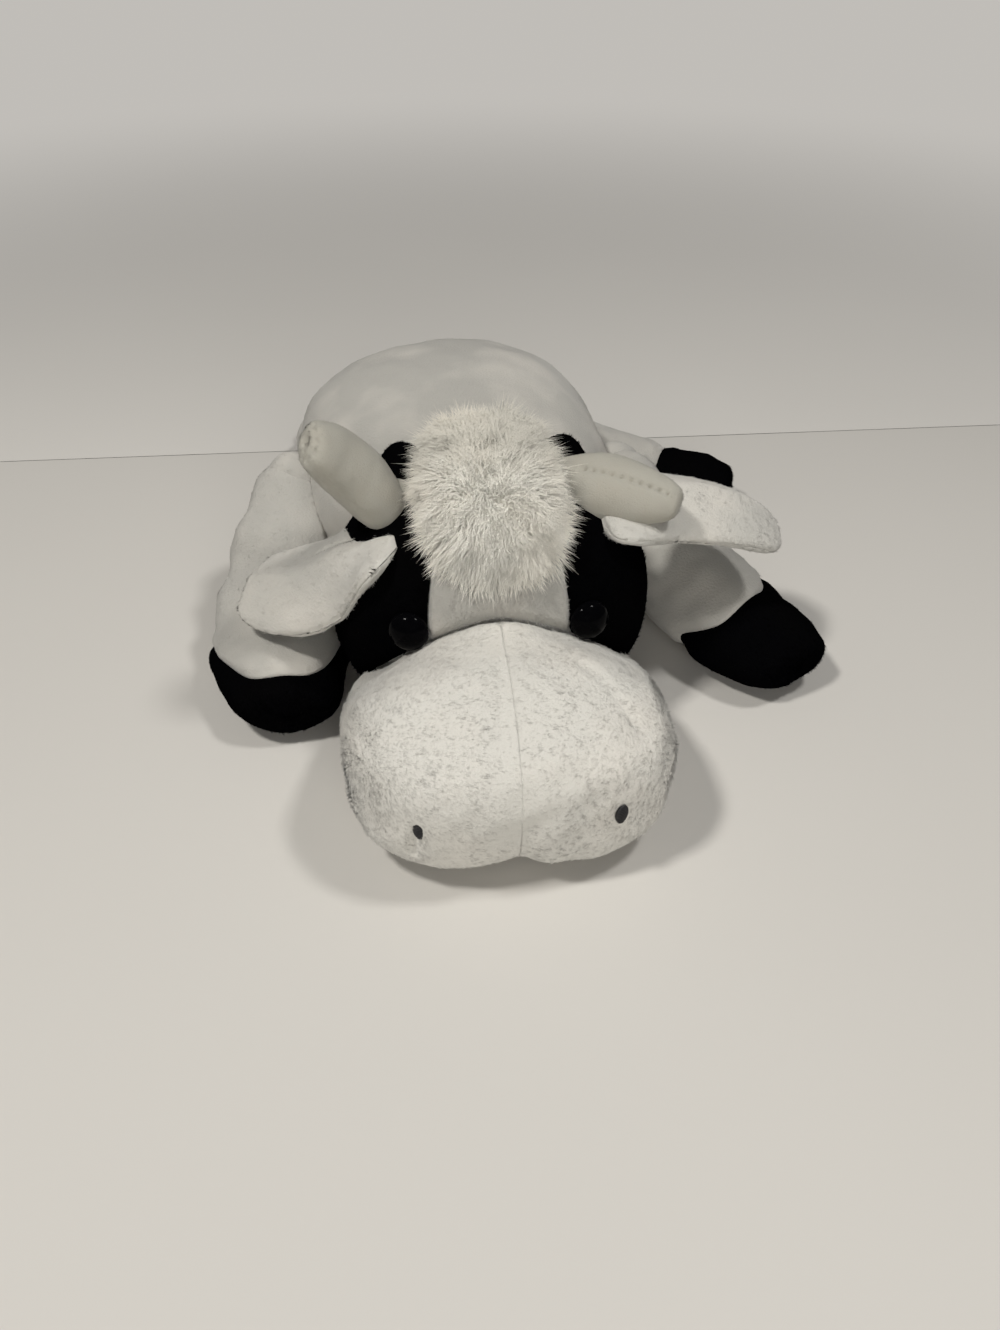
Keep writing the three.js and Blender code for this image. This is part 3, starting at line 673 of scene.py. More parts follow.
black_plush = cloth_material(
    "black_plush", (0.0007, 0.0007, 0.0009), (0.0018, 0.0018, 0.0022), (0.0022, 0.002, 0.002),
    mottle=60, grain=1600, depth=0.0004, Roughness=0.95, Specular_IOR_Level=0.0,
)


def way_of(side, azimuth, elevation):
    """A direction by its angle from straight ahead towards one side, and its angle of rise."""
    turn, rise = math.radians(azimuth), math.radians(elevation)
    level = math.cos(rise)
    return np.array([side * math.sin(turn) * level, -math.cos(turn) * level, math.sin(rise)])


def spun(first, second, angle):
    """Two coordinates turned by an angle in radians."""
    cosine, sine = np.cos(angle), np.sin(angle)
    return first * cosine - second * sine, first * sine + second * cosine


def turned(points, degrees, middle=(0, 0, 0)):
    """Points turned about an upright line through a point."""
    centre = np.array(middle, float)
    flat = points - centre
    x, y = spun(flat[..., 0], flat[..., 1], math.radians(degrees))
    return centre + xyz(x, y, flat[..., 2])


def aim(side, heading):
    """How many degrees +X turns about the upright line to point at a heading of one side."""
    return side * heading - 90


def shrink_clear(middles, grid, room):
    """Draws points towards the middle line of a tube until room(point) is not below 0."""
    low, high = np.zeros(grid.shape[:2]), np.ones(grid.shape[:2])
    clear = room(grid) >= 0
    for _ in range(14):
        half = (low + high) / 2
        good = room(lerp(middles, grid, half[..., None])) >= 0
        low, high = np.where(good, half, low), np.where(good, high, half)
    return lerp(middles, grid, np.where(clear, 1, low)[..., None])


def hoof_seam(form, turn):
    """Share of a leg's length where its hoof panel starts: the panel has its full length below,
    is shorter on top, and is longer on the side that its seam slants to."""
    top = form["short_top"] * smooth(-np.sin(turn), -0.1, 1)
    return 1 - (form["hoof"] - top + form["slant"] * (1 + np.cos(turn)) / 2) / form["length"]


def leg_grid(form, pivot, start, end, rows):
    """Tube along +X. Middle at a share of its length = (share * length, side * bow *
    sin(pi * share)). Its half width and half height swell from the neck to the hoof, times
    radial^0.4, where radial = 2 * sqrt(share * (1 - share)), and it sinks until it lies flat.
    At the shoulder its top is higher, which fades to nothing at 0.6 of its length, and its end
    reaches back behind the pivot."""
    side, girth, shoulder = form["side"], form["girth"], form["shoulder"] / 2
    tilt = np.linspace(np.arccos(1 - 2 * start), np.arccos(1 - 2 * end), rows)
    share = (1 - np.cos(tilt)) / 2
    turn = round_angles(leg["columns"])[None]
    blunt = np.abs(np.sin(tilt)) ** 0.4
    swell = smooth(share, 0, 0.7)
    raised = shoulder * (1 - smooth(share, 0, 0.6))
    width = girth * lerp(leg["neck"], leg["half_width"], swell) * blunt
    height = (girth * lerp(leg["neck"], leg["half_height"], swell) + raised) * blunt
    sink = (pivot[2] - girth * leg["centre_height"]) * smooth(share, 0, 0.8)
    x = share * form["length"] - shoulder * (1 - share)
    middle_y = side * form["bow"] * np.sin(np.pi * share)
    z = np.maximum(-np.sin(turn) * height + raised - sink, covering_gap - pivot[2])
    grid = xyz(x, middle_y + np.cos(turn) * width, z)
    middles = xyz(x, middle_y, raised - sink)
    for heading in form["swing"]:
        back = aim(side, heading)
        grid = shrink_clear(
            middles, grid, lambda points: torso_room(turned(points, back) + pivot, -0.6)
        )
    return grid, middles


def capped(grid, middle, end):
    """Closes a tube's open end, row 0 or -1, with a ring that is 0.6 as wide and a point."""
    point = np.broadcast_to(middle, grid[end].shape)
    ring = lerp(point, grid[end], 0.6)
    rows = [point[None], ring[None], grid] if end == 0 else [grid, ring[None], point[None]]
    return np.concatenate(rows)


for name, form in legs.items():
    side, shoulder = form["side"], np.array([0, 0, form["shoulder"] / 2])
    pivot, _ = pillow_seat(torso, way_of(side, *form["root"]), leg["standoff"])
    turn_by = aim(side, form["heading"])
    to_hoof = straight(turned(np.array([1.0, 0, 0]), turn_by) + np.array([0, 0, -0.15]))
    ball_size = leg["root_ball"] * form["girth"] + shoulder
    ball = round_grid(lambda way: pivot + shoulder + way * ball_size, 24, 40)
    seam = hoof_seam(form, round_angles(leg["columns"]))
    seed = 44 + len(name) + int(form["heading"])
    for part, start, end, rows, open_end, material, slot in (
        ("leg", 0 * seam, seam, 64, -1, white_plush, "white_plush"),
        ("hoof", seam, 0 * seam + 1, 34, 0, black_plush, "black_plush"),
    ):
        formed = leg_grid(form, pivot, start, end, rows)
        grid, middles = (turned(each, turn_by) + pivot for each in formed)
        from_seam = np.linalg.norm(grid - grid[open_end], axis=-1)
        slack = 0.7 * ripple(grid, 21, seed) + 0.25 * ripple(grid, 8, seed + 1)
        grid, normals = sunk(grid, 1.2 * bell(from_seam, 2.2) + slack)
        keep = grid[..., 2] > leg["pile_from"]
        closed = capped(grid, middles[open_end].mean(axis=0), open_end)
        parts = [skin(closed, shaded_body_tone if part == "leg" else cloth_tone)]
        if part == "leg":
            ball_fur = pile(ball, grid_normals(ball), body_nap, seed + 3, 3.4, tone=shaded_body_tone)
            parts += [skin(ball, shaded_body_tone), ball_fur]
        parts.append(pile(grid, normals, to_hoof, seed + 2, 3.6, keep=keep, tone=shaded_body_tone))
        piece, node = f"{name}_{part}_plush", f"{name}_{part}"
        make_piece(piece, node, f"{name}_limb", material, parts)

# Tail. A sewn cord of white plush that lies behind the body, with a tuft of the same long pile
# as the forelock at its end.
tail = {"root": 4.6, "radius": 3.1, "length": 36, "standoff": 1.5, "fill": 0.6}
tuft = {"length": 20, "radius": 6, "overlap": 5, "hairs": 1800, "lying": 2.5, "fill": 0.5}
long_pile = cloth_material(
    "long_pile", (0.60, 0.575, 0.505), (0.92, 0.90, 0.82), (0.88, 0.82, 0.71),
    mottle=60, grain=2200, depth=0.0003,
    Roughness=0.8, Specular_IOR_Level=0.3, Sheen_Weight=0.2,
)
tail_pivot, _ = pillow_seat(torso, way_of(1, 180, -24), tail["standoff"])
tail_drop = tail_pivot[2] - tail["radius"]


def tail_grid(rows, columns):
    """Round cord along +Y: radius = tail radius * radial^0.45, and it drops to the floor over
    the first 0.7 of its length."""
    tilt, share, turn = tube_angles(rows, columns)
    radius = tail["radius"] * np.sin(tilt) ** 0.45
    drop = tail_drop * smooth(share, 0, 0.7)
    z = radius * np.sin(turn) - drop
    return tail_pivot + xyz(radius * np.cos(turn), share * tail["length"], z)


cord = tail_grid(60, 28)
tail_ball = round_grid(lambda way: tail_pivot + way * tail["root"], 20, 32)
to_tuft = straight(np.array([0, 1.0, -0.2]))
fur = pile(cord, grid_normals(cord), to_tuft, 61, 3.4, tone=shaded_body_tone)
parts = [skin(cord, shaded_body_tone), skin(tail_ball, shaded_body_tone), fur]
make_piece(
    "tail_cord_plush", "tail_cord", "tail", white_plush, parts
)


def tuft_grid(rows, columns):
    """The tuft's core: a spindle over the cord's end, flat where it lies."""
    tilt, share, turn = tube_angles(rows, columns)
    radius = 0.55 * tuft["radius"] * np.sin(tilt)
    y = tail["length"] - tuft["overlap"] + share * 0.8 * tuft["length"]
    z = np.maximum(-radius * np.sin(turn), -tail["radius"]) - tail_drop
    return tail_pivot + xyz(radius * np.cos(turn), y, z)[:, ::-1]


core = tuft_grid(26, 28)
draw = np.random.default_rng(62)
count = tuft["hairs"]
roots, up = scatter(core, grid_normals(core), count, draw)
ways = unit(up * 0.7 + np.array([0, 1.3, 0]) + 0.3 * draw.normal(size=(count, 3)))
ways[:, 2] = np.where(roots[:, 2] < tuft["lying"], np.abs(ways[:, 2]) * 0.3, ways[:, 2])
bends = np.array([0, 0.3, 0]) + 0.2 * draw.normal(size=(count, 3))
bends[:, 2] = np.abs(bends[:, 2]) * 0.2
lengths, radii = draw.uniform(4, 7.5, count), draw.uniform(0.13, 0.22, count)
strands = hairs(roots, ways, bends, lengths, radii, 3, draw, up, 1, (0.4, 0.85, 0.15))
parts = [skin(core), strands]
make_piece("tail_tuft_pile", "tail_tuft", "tail", long_pile, parts)

# Head. A rounded cranium behind a broad muzzle. White strip between two black patches, a white
# muzzle panel with a middle seam and darts, and a chin panel set back under its front edge.
cranium = {"centre": (0, -66, 30), "halves": (38, 26), "rise": 30, "drop": 28, "squareness": 2.4}
muzzle = {"centre": (0, -102, 18), "halves": (36, 32), "rise": 23, "drop": 19, "squareness": 3}
mouth_height = 4.5
head_turn, head_pile_from = -7, 0.9
neck_foot = (0, -36, 0)
sides = {"right": -1, "left": 1}
darts = (
    ((15.5, -108.0, 40.0), (24.5, -121.2, 35.9), 0.9, 1.3),
    ((-33.2, -99.6, 27.3), (-29.5, -118.7, 33.5), 0.5, 1.6),
    ((-20.8, -131.7, 21.6), (-22.2, -131.2, 13.0), 0.8, 1.1),
)
eye = {"place": (30.5, 14.5), "radius": 4.6, "dome": 3.4, "rim": 0.3, "standoff": 0.3,
       "pile_over": 2.2, "post": 1.3, "post_length": 7.5, "rib": 0.4}
nostril = {"place": (31, 7), "half_width": 1.6, "half_height": 2.5, "bare": 0.6}


def on_neck(points):
    """From the head's own straight-ahead frame to its place on the neck."""
    return turned(points, head_turn, neck_foot)


def set_on_neck(*parts):
    """Mesh parts moved with the head: their points, and their shading where they have it."""
    return [
        (on_neck(points), faces, tones, *(turned(each, head_turn) for each in shading))
        for points, faces, tones, *shading in parts
    ]


def muzzle_fall(way_y, x):
    """How much of its height the muzzle keeps: less at the sides, towards the face."""
    return 1 - smooth(way_y, -0.3, 0.6) * np.abs(x / muzzle["halves"][0]) ** 1.5


def muzzle_point(way, grow=0.0):
    """Pillow whose top falls away to the sides at the face, drawn in along its middle by
    1.4 * bell(x, 3.5)."""
    points = pillow_point(muzzle, way, grow)
    centre_z = muzzle["centre"][2]
    fall = muzzle_fall(way[..., 1], points[..., 0])
    lowered = centre_z + (points[..., 2] - centre_z) * fall
    points[..., 2] = np.where(way[..., 2] > 0, lowered, points[..., 2])
    crease = 1.4 * bell(points[..., 0], 3.5)
    points[..., 1] -= crease * way[..., 1]
    points[..., 2] -= crease * np.maximum(way[..., 2], 0)
    return points


def muzzle_room(points):
    """How far outside the muzzle points lie: its fall is undone first, in a few rounds."""
    away = points - np.array(muzzle["centre"])
    x, y = away[..., 0] / muzzle["halves"][0], away[..., 1] / muzzle["halves"][1]
    level = z = away[..., 2] / muzzle["rise"]
    for _ in range(5):
        way_y = y / np.sqrt(x * x + y * y + level * level + 1e-9)
        level = z / np.maximum(muzzle_fall(way_y, away[..., 0]), 0.05)
    raised = muzzle["centre"][2] + level * muzzle["rise"]
    upright = points.copy()
    upright[..., 2] = np.where(away[..., 2] > 0, raised, points[..., 2])
    return pillow_room(muzzle, upright)


def cranium_point(way, grow=0.0):
    """The cranium's pillow."""
    return pillow_point(cranium, way, grow)


def clear_of_torso(points):
    """How far points of the head lie outside the torso that it rides on."""
    return torso_room(on_neck(points), covering_gap)


def above_mouth(points):
    """How far points lie above the seam of the chin."""
    return points[..., 2] - mouth_height - covering_gap


def blaze_edge(points):
    """Half width of the white strip: 16.5 mm at the muzzle, and 11.5 mm from 14 mm behind it."""
    return lerp(16.5, 11.5, np.clip((points[..., 1] + 92) / 14, 0, 1))


def in_blaze(points):
    """Inside the white strip, which ends 30 mm above the table at the back of the head."""
    inside = np.minimum(blaze_edge(points) - np.abs(points[..., 0]), points[..., 2] - 30)
    return np.minimum.reduce([inside, muzzle_room(points), clear_of_torso(points)])


def in_patch(side, points):
    """Inside the black patch of one side, which reaches the middle below the strip's end."""
    edge = np.where(points[..., 2] > 30, blaze_edge(points) + covering_gap, 0.15)
    inside = [side * points[..., 0] - edge, muzzle_room(points), clear_of_torso(points)]
    return np.minimum.reduce([*inside, above_mouth(points)])


def in_half(side, points):
    """Inside one half of the muzzle panel: the halves meet at the middle seam."""
    inside = [side * points[..., 0] - 0.02, pillow_room(cranium, points), above_mouth(points)]
    return np.minimum.reduce(inside)


def in_chin(points):
    """Inside the chin panel, under the muzzle."""
    return np.minimum(pillow_room(cranium, points), mouth_height - points[..., 2])


def in_throat(points):
    """Inside the chin panel's end under the cranium."""
    inside = [muzzle_room(points), mouth_height - points[..., 2], clear_of_torso(points)]
    return np.minimum.reduce(inside)


def groove(points, start, end, depth, width):
    """A dart: depth * bell(distance to a line, width)."""
    start, end = np.array(start, float), np.array(end, float)
    line = end - start
    share = np.clip((points - start) @ line / (line @ line), 0, 1)
    away = np.linalg.norm(points - start - share[..., None] * line, axis=-1)
    return depth * bell(away, width)


def muzzle_folds(points):
    """A swell over the middle seam that turns into a hollow below, the darts, and unevenness."""
    x, z = points[..., 0], points[..., 2]
    seam = lerp(-0.9, 0.8, smooth(-z, -26, -5)) * bell(x, 3.2)
    lumps = 0.7 * ripple(points, 30, 71) + 0.28 * ripple(points, 9, 72)
    return seam + lumps + sum(groove(points, *dart) for dart in darts)


def patch_bunch(side, points):
    """The black cloth bunches up behind the horn, beside the forelock."""
    away = np.linalg.norm(points - np.array([side * 18.5, -51, 56]), axis=-1)
    return -9.5 * bell(away, 7.5)


def across_muzzle(points):
    """Pile that leans level over the middle seam from both sides, with a slow swirl."""
    near = bell(points[:, 0], 4.5)
    level = -np.sign(points[:, 0]) * lerp(0.75, 1, near)
    swirl = 0.35 * ripple(points, 16, 73)
    return xyz(level, 0.2 + swirl, -0.3 - 0.3 * near - swirl)


def head_piece(name, node, panels, material, slot, flow, seed, bare=(), under=0, **nap):
    """A head panel, of one or more grids with their normals, with its lining and pile, set on
    the neck. Nothing grows on bare spots, and the cloth under the pile may be painted lighter by
    `under`: painted light that lifts the shade between the hairs."""
    parts = []
    for order, (grid, normals) in enumerate(panels):
        keep = grid[..., 2] > head_pile_from
        for spot, size in bare:
            keep = keep & (np.linalg.norm(grid - spot, axis=-1) > size)
        parts.append(pile(grid, normals, flow, seed + 200 * order, keep=keep, **nap))
        parts.append(skin(lined(grid, normals), nap["tone"] + under))
    make_piece(name, node, "head", material, set_on_neck(*parts))


# The eyes and the nostrils are given their places here, because no pile grows under them.
eye_seats, nostril_seats = {}, {}
for word, side in sides.items():
    eye_seats[word] = pillow_seat(cranium, way_of(side, *eye["place"]), eye["standoff"])
    spot_way = way_of(side, *nostril["place"])
    nostril_seats[word] = (muzzle_point(spot_way[None])[0], pillow_normal(muzzle, spot_way))
eye_spots = [(seat, eye["radius"] - eye["pile_over"]) for seat, _ in eye_seats.values()]
nostril_spots = [(seat, nostril["bare"]) for seat, _ in nostril_seats.values()]
head_nap = backward(90, 0.2)

halves = []
for side in sides.values():
    pole, allowed = (0.62 * side, -1, 0.22), lambda points: in_half(side, points)
    halves.append(covered(muzzle_point, pole, allowed, 52, 190, 0.1, 1.3, muzzle_folds))
# The muzzle's cloth under its pile is painted 0.2 lighter: painted light in the shade between the
# hairs.
head_piece(
    "muzzle_plush", "muzzle_cover", halves, white_plush, "white_plush", across_muzzle, 74,
    nostril_spots, 0.2, density=5.4, length=1.2, radius=0.22, lean=2.3, tuft=0.26, tone=0.42,
)
strip = covered(cranium_point, (0, -0.35, 1), in_blaze, 40, 160, seam=1.0, spread=1.8)
# The strip is painted at almost the deep tone: painted shadow of the forelock over it.
head_piece(
    "blaze_plush", "head_blaze", [strip], white_plush, "white_plush", head_nap, 75,
    density=3.8, tone=0.05,
)
for word, side in sides.items():
    patch = covered(
        cranium_point, (side, -0.3, 0.15), lambda points: in_patch(side, points), 56, 190,
        seam=1.0, spread=1.8, shape=lambda points: patch_bunch(side, points),
    )
    head_piece(
        f"{word}_patch_plush", f"{word}_face_patch", [patch], black_plush, "black_plush",
        head_nap, 76 + side, eye_spots, density=2.9, length=1.5, tone=0.5,
    )

chin, chin_normals = covered(muzzle_point, (0, 0, -1), in_chin, 36, 180, seam=1.6)
throat, throat_normals = covered(cranium_point, (0, 0.1, -1), in_throat, 16, 90, seam=0.5)
thin_cloth = cloth_thickness * 0.9
parts = set_on_neck(
    skin(lined(chin, chin_normals, thin_cloth)),
    skin(lined(throat, throat_normals, thin_cloth)),
    pile(chin, chin_normals, head_nap, 81, 2.4, keep=chin[..., 2] > head_pile_from),
)
make_piece("chin_plush", "chin_cover", "head", white_plush, parts)

filling = []
for place in (cranium_point, muzzle_point):
    grid = lumpy(round_grid(lambda way: place(way, -stuffing_depth), 46, 92), 8, 0.5, 82)
    middle = np.broadcast_to(np.array([0, -86.0, 24.0]), grid.shape)
    filling.append(skin(shrink_clear(middle, grid, lambda points: clear_of_torso(points) - 1)))
parts = set_on_neck(*filling)
make_piece(
    "head_fibre", "head_stuffing", "head", fibre_stuffing, parts
)

# Eyes. A domed eye of glossy black plastic on a ribbed post, pushed through the cloth and held
# behind it by a plastic lock washer.
eye_plastic, tree, shader = new_material("eye_plastic", Roughness=0.12, Specular_IOR_Level=0.03)
smear = noise_on(tree, 500, 4, (1, 1, 2.5))
(haze,) = add_nodes(tree, "MapRange")
set_inputs(haze, From_Min=0.35, From_Max=0.75, To_Min=0.06, To_Max=0.2)
tree.links.new(smear, haze.inputs["Value"])
tree.links.new(haze.outputs["Result"], shader.inputs["Roughness"])
colour_by(tree, shader, smear, (0.0006, 0.0006, 0.001), (0.002, 0.002, 0.0024))


def facing(normal):
    """Two directions across a normal, the first of them level."""
    level = unit(np.cross([0, 0, 1.0], normal))
    return level, np.cross(normal, level)


def lathe(profile, seat, normal, columns):
    """A turned form: each pair of radius and height goes round the normal."""
    radius, height = profile.T[..., None, None]
    return (seat + radius * ring_ways(*facing(normal), columns) + height * normal)[:, ::-1]


def eye_outline():
    """Radius and height from the post's foot to the dome's top: a post with four tapered ribs,
    a rim rounded by a quarter circle, and a dome that is a quarter of an oval."""
    radius, rim, length = eye["radius"], eye["rim"], eye["post_length"]
    post = np.linspace(-length, 0, 40)
    rib = (1 - np.mod((post + length) / (length / 4), 1)) * (post < -1.0)
    edge = np.linspace(-np.pi / 2, 0, 8)[:-1]
    dome = np.linspace(0, np.pi / 2, 26)
    dome_height = rim + (eye["dome"] - rim) * np.sin(dome)
    outline = np.concatenate([
        [(0, -length)],
        np.stack([eye["post"] + eye["rib"] * rib, post], axis=-1),
        np.stack([radius - rim + rim * np.cos(edge), rim + rim * np.sin(edge)], axis=-1),
        np.stack([radius * np.cos(dome), dome_height], axis=-1),
    ])
    outline[-1, 0] = 0
    return outline


for word, (seat, normal) in eye_seats.items():
    parts = set_on_neck(skin(lathe(eye_outline(), seat, normal, 72)))
    make_piece(f"{word}_eye_dome", f"{word}_eye", "head", eye_plastic, parts)

washer_plastic, tree, shader = new_material("washer_plastic", Roughness=0.4)
colour_by(tree, shader, noise_on(tree, 400), (0.62, 0.62, 0.6), (0.74, 0.74, 0.72))
for word in eye_seats:
    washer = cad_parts[f"{word}_eye_washer"]
    washer.data.materials.clear()
    washer.data.materials.append(washer_plastic)

# Nostrils. Two small oval spots embroidered in dark grey satin stitch: threads side by side, each
# from edge to edge of the oval, half sunk in the pile.
grey_thread = cloth_material(
    "grey_thread", (0.005, 0.005, 0.006), (0.018, 0.018, 0.02), (0.014, 0.013, 0.013),
    mottle=300, grain=5200, depth=0.0001, Roughness=0.55, Specular_IOR_Level=0.5,
)
thread_radius = 0.26
stitch = {"spacing": 1.7 * thread_radius, "rise": 0.35, "slant": 0.15, "margin": 0.3}
pad_share, pad_depth = 0.95, 0.45


def thread_line(path, radius, columns=8):
    """A round thread along a path of points, closed at both ends: its radius is
    radius * sqrt(sin(pi * share))."""
    along = unit(np.gradient(path, axis=0))
    side = unit(np.cross(along, (0.12, 0.36, 0.93)))
    ring = ring_ways(side[:, None], np.cross(along, side)[:, None], columns)
    girth = radius * np.sqrt(np.sin(np.linspace(0, np.pi, len(path))) + 1e-9)
    girth[[0, -1]] = 0
    return skin((path[:, None] + ring * girth[:, None, None])[:, ::-1])


for word, (seat, normal) in nostril_seats.items():
    level, up = facing(normal)
    width, height = nostril["half_width"], nostril["half_height"]
    share = np.linspace(-1, 1, 9)[:, None]
    parts = []
    for offset in np.arange(-height + stitch["margin"], height, stitch["spacing"]):
        reach = math.sqrt(1 - (offset / height) ** 2)
        rise = stitch["rise"] * (1 - share**2) * reach * normal
        path = seat + share * width * reach * level + (offset + stitch["slant"] * share) * up + rise
        parts.append(thread_line(path, thread_radius))
    pad_halves = (width * pad_share, height * pad_share, pad_depth)
    axes = np.stack([level, up, normal])
    parts.append(skin(round_grid(lambda way: seat + way * pad_halves @ axes, 14, 28), 0.1))
    piece, node = f"{word}_nostril_stitches", f"{word}_nostril"
    make_piece(piece, node, "head", grey_thread, set_on_neck(*parts))

# Horns. Each is one piece of cream felt folded over and sewn along its length, stuffed hard, and
# stitched to the crown. The right one shows its gathered tip and the left one its seam.
horn = {"flatness": 0.76, "standoff": 1.4, "ball": 6, "root": (100, 61), "fill": 0.9,
        "sunk_at_rest": 0.8, "sunk_when_bent": 1.2,
        "stitch": 2.2, "sewn": (2, 23), "seam_faces": (-0.1, -0.45, 0.9)}
horns = {
    "right": {"side": -1, "length": 27, "root": 8.2, "belly": 9.0, "tip": 7.8,
              "sag": (-3, -1, -5.5), "turned_tip": (1.2, -2.6, 0.5),
              "rest": (72, 38), "bent": (82, 66), "roll": 30},
    "left": {"side": 1, "length": 25.5, "root": 6.2, "belly": 8.1, "tip": 6.0,
             "sag": (0, 0, -0.8), "turned_tip": (0, 0, 0),
             "rest": (60, -2), "bent": (72, 38), "roll": 40},
}
cream_felt = cloth_material(
    "cream_felt", (0.29, 0.278, 0.235), (0.43, 0.415, 0.365), (0.385, 0.36, 0.305),
    mottle=120, grain=2600, depth=0.0003,
    Roughness=0.88, Specular_IOR_Level=0.2, Sheen_Weight=0.15,
)


def swung(points, pivot, axis, angle):
    """Points turned about any line through a pivot: away * cos + (axis x away) * sin +
    axis * (axis . away) * (1 - cos)."""
    away = points - pivot
    sideways = np.cross(axis, away) * math.sin(angle)
    along = axis * (away @ axis)[..., None] * (1 - math.cos(angle))
    return pivot + away * math.cos(angle) + sideways + along


def head_room(points):
    """How far outside the whole head points lie."""
    return np.minimum(pillow_room(cranium, points), muzzle_room(points))


def horn_place(form):
    """Where a horn turns, and the way that it points at rest."""
    pivot, _ = pillow_seat(cranium, way_of(form["side"], *horn["root"]), horn["standoff"])
    return pivot, way_of(form["side"], *form["rest"])


def horn_radius(form, share):
    """Radius from root to belly to tip, times radial^0.45, where radial = 2 * sqrt(share *
    (1 - share))."""
    to_belly = lerp(form["root"], form["belly"], smooth(share, 0, 0.4))
    full = lerp(to_belly, form["tip"], smooth(share, 0.4, 1))
    return full * (2 * np.sqrt(np.maximum(share * (1 - share), 0))) ** 0.45


def horn_grid(form, gathered, rows=120, columns=120):
    """Flattened cone along +X. A gathered tip has ten small folds that run to a dimple in its
    middle: folds = 0.2 * cos(10 * turn), dimple = 1.1 * bell(radius, 1.5), and round it a ring
    of 0.4 * bell(radius - 4, 0.8)."""
    _, share, turn = tube_angles(rows, columns)
    radius = horn_radius(form, share) + 0 * turn
    along = share * (form["length"] + horn["ball"]) - horn["ball"]
    if gathered:
        fold = 0.2 * np.cos(10 * turn + 1.2 * np.sin(3 * turn)) * bell(share - 0.98, 0.035)
        radius = radius + fold * np.minimum(radius / 3, 1)
        dimple = 1.1 * bell(radius, 1.5) + 0.4 * bell(radius - 4.0, 0.8)
        along = along - (share > 0.5) * dimple
    y, z = radius * np.cos(turn), -radius * np.sin(turn) * horn["flatness"]
    return xyz(along, *spun(y, z, math.radians(form["roll"])))


def horn_sag(form, along):
    """How far the horn's own weight draws its root down the head, sag * (1 - share)^2, and how
    far its tip turns to one side, turned_tip * smooth(share, 0.35, 1)^2."""
    share = np.clip(along / form["length"], 0, 1)
    drawn = np.array(form["sag"], float) * ((1 - share) ** 2)[..., None]
    return drawn + np.array(form["turned_tip"]) * (smooth(share, 0.35, 1) ** 2)[..., None]


def aiming_matrix(way):
    """The matrix that turns +X the shortest way to a direction."""
    x, y, z = np.cross([1.0, 0, 0], way)
    cross = np.array([[0, -z, y], [z, 0, -x], [-y, x, 0]])
    return np.eye(3) + cross + cross @ cross / (1 + way[0])


def horn_room(form, points):
    """How far outside a horn points lie: the flattened radius less the horn's own radius there."""
    pivot, way = horn_place(form)
    points = points - horn_sag(form, (points - pivot) @ way)
    along, y, z = np.moveaxis((points - pivot) @ aiming_matrix(way), -1, 0)
    y, z = spun(y, z, math.radians(-form["roll"]))
    share = (along + horn["ball"]) / (form["length"] + horn["ball"])
    inside = np.clip(share, 0, 1)
    beyond = np.abs(share - inside) * form["length"]
    return np.maximum(np.hypot(y, z / horn["flatness"]) - horn_radius(form, inside), beyond)


def seam_dents(grid, pivot, way):
    """A sewn line along the top of a horn: a groove of 0.5 * bell(across, 0.9), and at each
    stitch a needle hole of 0.55 * bell(distance, 0.42)."""
    away = grid - pivot
    along = away @ way
    faces = unit(np.array(horn["seam_faces"]))
    out = unit(faces - way * (faces @ way))
    across = away @ np.cross(way, out)
    first, last = horn["sewn"]
    above = (away @ out > 0) & (along > first) & (along < last)
    step = np.mod(along, horn["stitch"]) - horn["stitch"] / 2
    holes = bell(np.hypot(step, across), 0.42) * above
    return 0.5 * bell(across, 0.9) * above + 0.55 * holes, holes


for word, form in horns.items():
    side, (pivot, rest) = form["side"], horn_place(form)
    bent = way_of(side, *form["bent"])
    axis, angle = unit(np.cross(rest, bent)), math.acos(rest @ bent)
    local = horn_grid(form, word == "right")
    middles = local * (1, 0, 0)
    middles[..., 0] = np.maximum(middles[..., 0], 0)
    grid, middles = (each @ aiming_matrix(rest).T + pivot for each in (local, middles))
    grid = grid + horn_sag(form, local[..., 0])
    for swing, let_in in ((0, horn["sunk_at_rest"]), (angle, horn["sunk_when_bent"])):
        grid = shrink_clear(
            middles, grid, lambda points: head_room(swung(points, pivot, axis, swing)) + let_in
        )
    sink = 0.3 * ripple(grid, 15, 91 + side) + 0.08 * ripple(grid, 5, 93 + side)
    tone = np.full(grid.shape[:2], 0.75)
    if word == "left":
        dents, holes = seam_dents(grid, pivot, rest)
        # The needle holes are painted dark as well as dented: painted shade in them.
        sink, tone = sink + dents, tone - 0.75 * holes
    grid, normals = sunk(grid, sink)
    ball_middle = pivot + 0.4 * np.array(form["sag"])
    ball = round_grid(lambda way: ball_middle + way * 0.7 * horn["ball"], 20, 32)
    fuzz = pile(
        grid, normals, straight(rest), 95 + side, 3.4, length=0.8, lean=1.8, clump=1.6,
        keep=tone > 0.6,
    )
    parts = set_on_neck(skin(grid, tone), skin(ball), fuzz)
    piece, node = f"{word}_horn_felt", f"{word}_horn"
    make_piece(piece, node, f"{word}_horn", cream_felt, parts)

